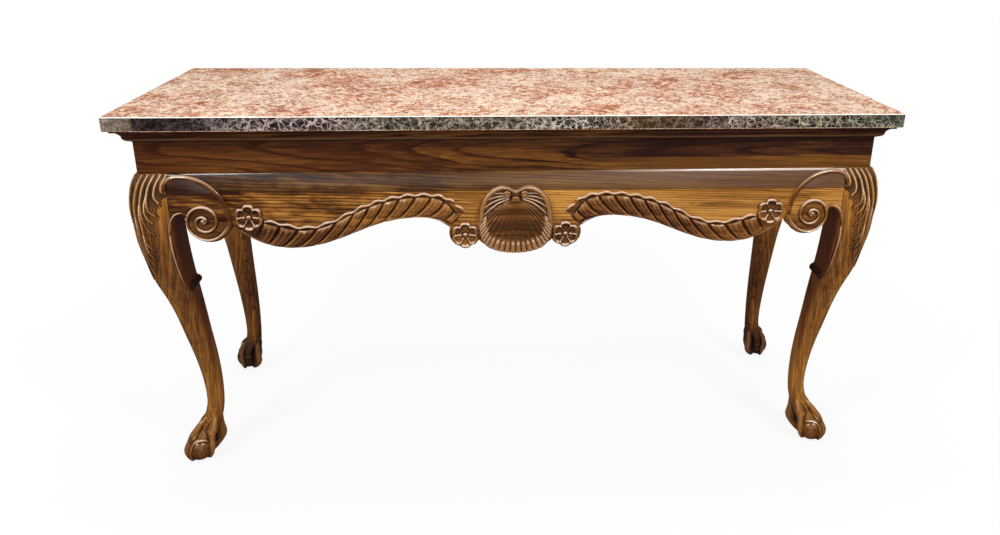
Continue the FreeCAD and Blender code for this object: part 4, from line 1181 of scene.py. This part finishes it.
def shellCarving():
    columns, rows = 560, 72
    half = shell["rim"]
    loop = half + [(-x, z) for x, z in half[-2::-1]]
    rim = smoothRun(loop, columns + 1, closed=True)[:-1]
    hingeX, hingeZ = shell["hinge"]
    out = np.concatenate([np.linspace(0.02, 0.70, 34), np.linspace(0.71, 1.0, rows - 35), [1.0]])[:, None]
    x = hingeX + (rim[:, 0] - hingeX)[None] * out
    z = hingeZ + (rim[:, 1] - hingeZ)[None] * out
    angle = np.abs(np.degrees(np.arctan2(x, -(z - hingeZ))))
    away = np.hypot(x, z - hingeZ)
    bent = angle + 34 * (out - 0.35) * stepUp(angle, 25, 70)
    down = 1 - stepUp(bent, 66, 76)
    wave = np.abs(np.sin(math.pi * bent / shell["fluteTurn"]))
    narrow = np.abs(np.sin(math.pi * bent / shell["innerTurn"]))
    lobing = stepUp(out, 0.74, 0.86)
    fluted = 1.6 * (1 - narrow) ** 1.6 * (1 - lobing) * stepUp(away, 10, 26) + 2.6 * wave ** 0.55 * lobing
    side = np.zeros(x.shape)
    for ridge in shell["ridges"]:
        apart = np.radians(np.abs(bent - ridge)) * away
        ridging = stepUp(away, 8, 22) * (1 - stepUp(out, 0.86, 0.97))
        side = np.maximum(side, 4.2 * bell(apart, 1.9) * ridging)
    edge = np.clip((out - 0.955) / 0.05, 0, 1)
    floorLow = 3.0 + shell["dish"] * out ** 2.6 + fluted - 13 * edge ** 3
    rollAt = (out - 0.925) * away.max(axis=0) / 6.0
    rolling = stepUp(np.abs(rollAt), 1.15, 0.85)
    upper = np.maximum(3.5 + 5.5 * out ** 2 + side, (9.5 + 6.0 * root(1 - rollAt ** 2)) * rolling)
    upper = np.where(out > 0.985, 6.0, upper)
    height = floorLow * down + upper * (1 - down)
    height[-1] = -0.6
    grid = np.stack(onApron(x, z, height), axis=2)
    # relief for the painted light: painted shade deepest in the bowl's middle, painted highlights on the
    # lower rim's lobes and along the rolled rim
    relief = (height - blurred(height, 4)) * (1 - 0.45 * down * (1 - lobing))
    relief = relief + 1.15 * down * lobing * (wave - 0.1) - 0.42 * (1 - stepUp(out, 0.70, 0.9))
    relief = np.maximum(relief + 0.2 * (1 - down) * rolling, down - 1 - 0.42)
    piece = gridPiece("shellBowl", grid, carvedOak, True, relief)
    parts = [paintedLight(piece, 0.9, 0.5, 0.76, most=0.55)]
    curlX, curlZ = shell["curl"]
    for side in (-1, 1):
        turns = np.linspace(0, 1.2, 36)
        angle = side * (math.pi / 2 - math.tau * turns)
        line = [onApron(side * curlX + r * math.sin(a), curlZ + r * math.cos(a), 11.5 + 2.5 * t)
                for r, a, t in zip(5.6 - 3.4 * turns, angle, turns)]
        parts.append(paintedLight(rod("curl", line, shell["curlGirth"], carvedOak, 12), 1.0, 0.8))
    block = shell["hingeBlock"]
    points = [onApron(*corner) for corner in block] + [onApron(x, z, 2) for x, z, _ in block]
    faces = [(0, 1, 2, 3), (7, 6, 5, 4), (0, 4, 5, 1), (1, 5, 6, 2), (2, 6, 7, 3), (3, 7, 4, 0)]
    hinge = meshPiece("hingeBlock", points, faces, carvedOak)
    outward(hinge)
    bevelled(hinge, 1.0)
    parts.append(paintedLight(hinge, 1.2, 0.4))
    settle(joined("shellCarving", parts), "carved_oak", "shell_carving")


def carving():
    spread(gadroonBorder(), "carved_oak",
           ("gadroonBorderRight", Matrix.Identity(4), ["gadroon_border_right"]),
           ("gadroonBorderLeft", flipX, ["gadroon_border_left"]))
    for name, nodes in (("Upper", ["rosettes"]), ("Lower", [])):
        spread(rosette(apron[name.lower() + "Rosette"]), "carved_oak",
               ("rosette%sRight" % name, Matrix.Identity(4), nodes), ("rosette%sLeft" % name, flipX, []))
    shellCarving()


carving()
print("carving ready")


cornice = {
    # reach beyond the frieze, height
    "fillet": [(-20, 0), (-20, 30), (30.5, 30), (30.5, 25)],
    "cove": [(25, 24), (20.7, 21.5), (16.8, 17)],
    "round": [(14.9, 15), (11.6, 5.5), (3, 1.5)],
}


def corniceRun(name, stations, finish):
    # stations: the two ends as (corner x, corner y, reach along x, reach along y)
    profile = cornice["fillet"] + arcRun(*cornice["cove"], 12) + arcRun(*cornice["round"], 14) + [(3, 0)]
    rows = []
    for x, y, outX, outY in stations:
        rows.append([(x + outX * e, y + outY * e, table["corniceFoot"] + z) for e, z in profile])
    piece = gridPiece(name, np.array(rows, float), finish, True)
    bevelled(piece, 0.5, 2, 50)
    softened(piece, 30)
    return piece


def cornices():
    end, front = table["endFace"], table["frontFace"]
    back = table["backFace"] - 20
    run = corniceRun("corniceFront", [(-end, front, -1, -1), (end, front, 1, -1)], friezeOak)
    settle(run, "oak", "cornice_front")
    run = corniceRun("corniceSide", [(-end, back, -1, 0), (-end, front, -1, -1)], oakY)
    spread(run, "oak", ("corniceLeft", Matrix.Identity(4), ["cornice_left"]),
           ("corniceRight", flipX, ["cornice_right"]))


cornices()
print("cornice ready")


# finishes of the pieces that stay as they are, by the start of their names
nodeFinishes = {
    "marble_top": marble,
    "frieze_front": friezeOak,
    "frieze_back": softX,
    "frieze_": oakY,
    "apron_back": softX,
    "batten_": softY,
    "slab_pads": cork,
    "foot_glides": glidePlastic,
    "corner_block_screws": screwSteel,
    "corner_block_": softX,
}
for node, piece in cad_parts.items():
    finish = next((nodeFinishes[stem] for stem in nodeFinishes if node.startswith(stem)), None)
    if finish:
        for holder in piece.material_slots:
            holder.material = finish
print("finishes given")


studio = {
    "floorColour": (0.95, 0.95, 0.95),
    "floorGlow": 0.88,          # share of plain white that the camera sees in the floor
    "shadowReach": (0.9, 1.9),  # metres from the middle over which the floor turns plain white
    "worldDiffuse": 0.33,       # light of the white room on the wood and the stone
    "worldMirror": 0.03,        # what their lacquer mirrors of it
    "lamps": [
        # name, place, aim, width, height, power, colour
        ("wallLamp", (0.0, -4.2, 2.3), (0, 0, 0.75), 5.0, 2.0, 22, (1.0, 0.99, 0.98)),
        ("keyLamp", (1.5, -1.9, 2.9), (0.1, 0, 0.6), 0.8, 0.5, 44, (1.0, 0.98, 0.95)),
        ("sideLamp", (-1.7, -1.7, 2.6), (0, 0, 0.6), 0.7, 0.45, 36, (0.96, 0.98, 1.0)),
        ("topLamp", (0.0, 0.5, 3.2), (0, 0, 0.86), 2.6, 1.2, 53, (1.0, 1.0, 1.0)),
    ],
}


def litBy(paint, *kinds):
    path = paint.tree.nodes.new("ShaderNodeLightPath")
    seen = [Sock(paint, path.outputs[kind]) for kind in kinds]
    return seen[0].math("MAXIMUM", seen[1]) if len(seen) > 1 else seen[0]


def floorAndBackdrop():
    bpy.ops.object.select_all(action="DESELECT")
    bpy.ops.mesh.primitive_plane_add(size=30, location=(0, 0, 0))
    floor = bpy.context.view_layer.objects.active
    floor.name = "floor"
    finish = Finish("paleFloor")
    finish.feed(Base_Color=(*studio["floorColour"], 1), Roughness=0.9, Specular_IOR_Level=0.0)
    white = finish.node("Emission", {}, [(1, 1, 1, 1), 1.0])
    dim = finish.node("Emission", {}, [(1, 0.95, 0.9, 1), studio["worldMirror"]])
    away = finish.node("VectorMath", {"operation": "LENGTH"}, [finish.place()], 1)
    away = away.smooth(*studio["shadowReach"])
    seen = litBy(finish, "Is Camera Ray") * (away * (1 - studio["floorGlow"]) + studio["floorGlow"])
    mixed = finish.node("MixShader", {}, [seen, Sock(finish, finish.surface.outputs[0]), white])
    mirrored = finish.node("MixShader", {}, [litBy(finish, "Is Glossy Ray"), mixed, dim])
    finish.give(finish.tree.nodes["Material Output"].inputs["Surface"], mirrored)
    floor.data.materials.append(finish.material)


def worldLight():
    world = bpy.data.worlds.new("studio")
    bpy.context.scene.world = world
    world.use_nodes = True
    paint = Paint(world.node_tree)
    low, high = studio["worldMirror"], studio["worldDiffuse"]
    level = litBy(paint, "Is Glossy Ray") * (low - high) + high
    level = level.math("MAXIMUM", litBy(paint, "Is Camera Ray", "Is Transmission Ray"))
    background = paint.tree.nodes["Background"]
    paint.give(background.inputs["Color"], (1, 1, 1, 1))
    paint.give(background.inputs["Strength"], level)


def lamps():
    for name, place, aim, width, height, power, colour in studio["lamps"]:
        bpy.ops.object.light_add(type="AREA", location=place)
        lamp = bpy.context.view_layer.objects.active
        lamp.name = name
        lamp.data.shape = "RECTANGLE"
        lamp.data.size = width
        lamp.data.size_y = height
        lamp.data.energy = power
        lamp.data.color = colour
        lamp.rotation_euler = (Vector(aim) - Vector(place)).to_track_quat("-Z", "Y").to_euler()


viewpoint = {
    "place": (-0.07164, -1.82562, 1.24147),
    "yaw": 4.1827,            # degrees to the right of straight back
    "pitch": -18.6858,
    "roll": 0.7467,
    "focal": 781.79,          # pixels
    "axisX": 536.2,           # pixel that the lens axis meets
    "axisY": 183.31,
    "wide": 1000,
    "high": 535,
}


def camera():
    yaw, pitch, roll = (math.radians(viewpoint[key]) for key in ("yaw", "pitch", "roll"))
    ahead = Vector((math.sin(yaw) * math.cos(pitch), math.cos(yaw) * math.cos(pitch), math.sin(pitch)))
    right = Vector((math.cos(yaw), -math.sin(yaw), 0))
    up = right.cross(ahead)
    across = right * math.cos(roll) + up * math.sin(roll)
    upright = up * math.cos(roll) - right * math.sin(roll)
    bpy.ops.object.camera_add(location=viewpoint["place"])
    eye = bpy.context.view_layer.objects.active
    eye.rotation_euler = Matrix((across, upright, -ahead)).transposed().to_euler()
    lens = eye.data
    lens.sensor_fit = "HORIZONTAL"
    lens.sensor_width = 36
    lens.lens = lens.sensor_width * viewpoint["focal"] / viewpoint["wide"]
    lens.shift_x = (viewpoint["wide"] / 2 - viewpoint["axisX"]) / viewpoint["wide"]
    lens.shift_y = (viewpoint["axisY"] - viewpoint["high"] / 2) / viewpoint["wide"]
    lens.clip_start = 0.05
    bpy.context.scene.camera = eye


floorAndBackdrop()
worldLight()
lamps()
camera()
bpy.context.scene.view_settings.view_transform = "Standard"
print("stage ready")
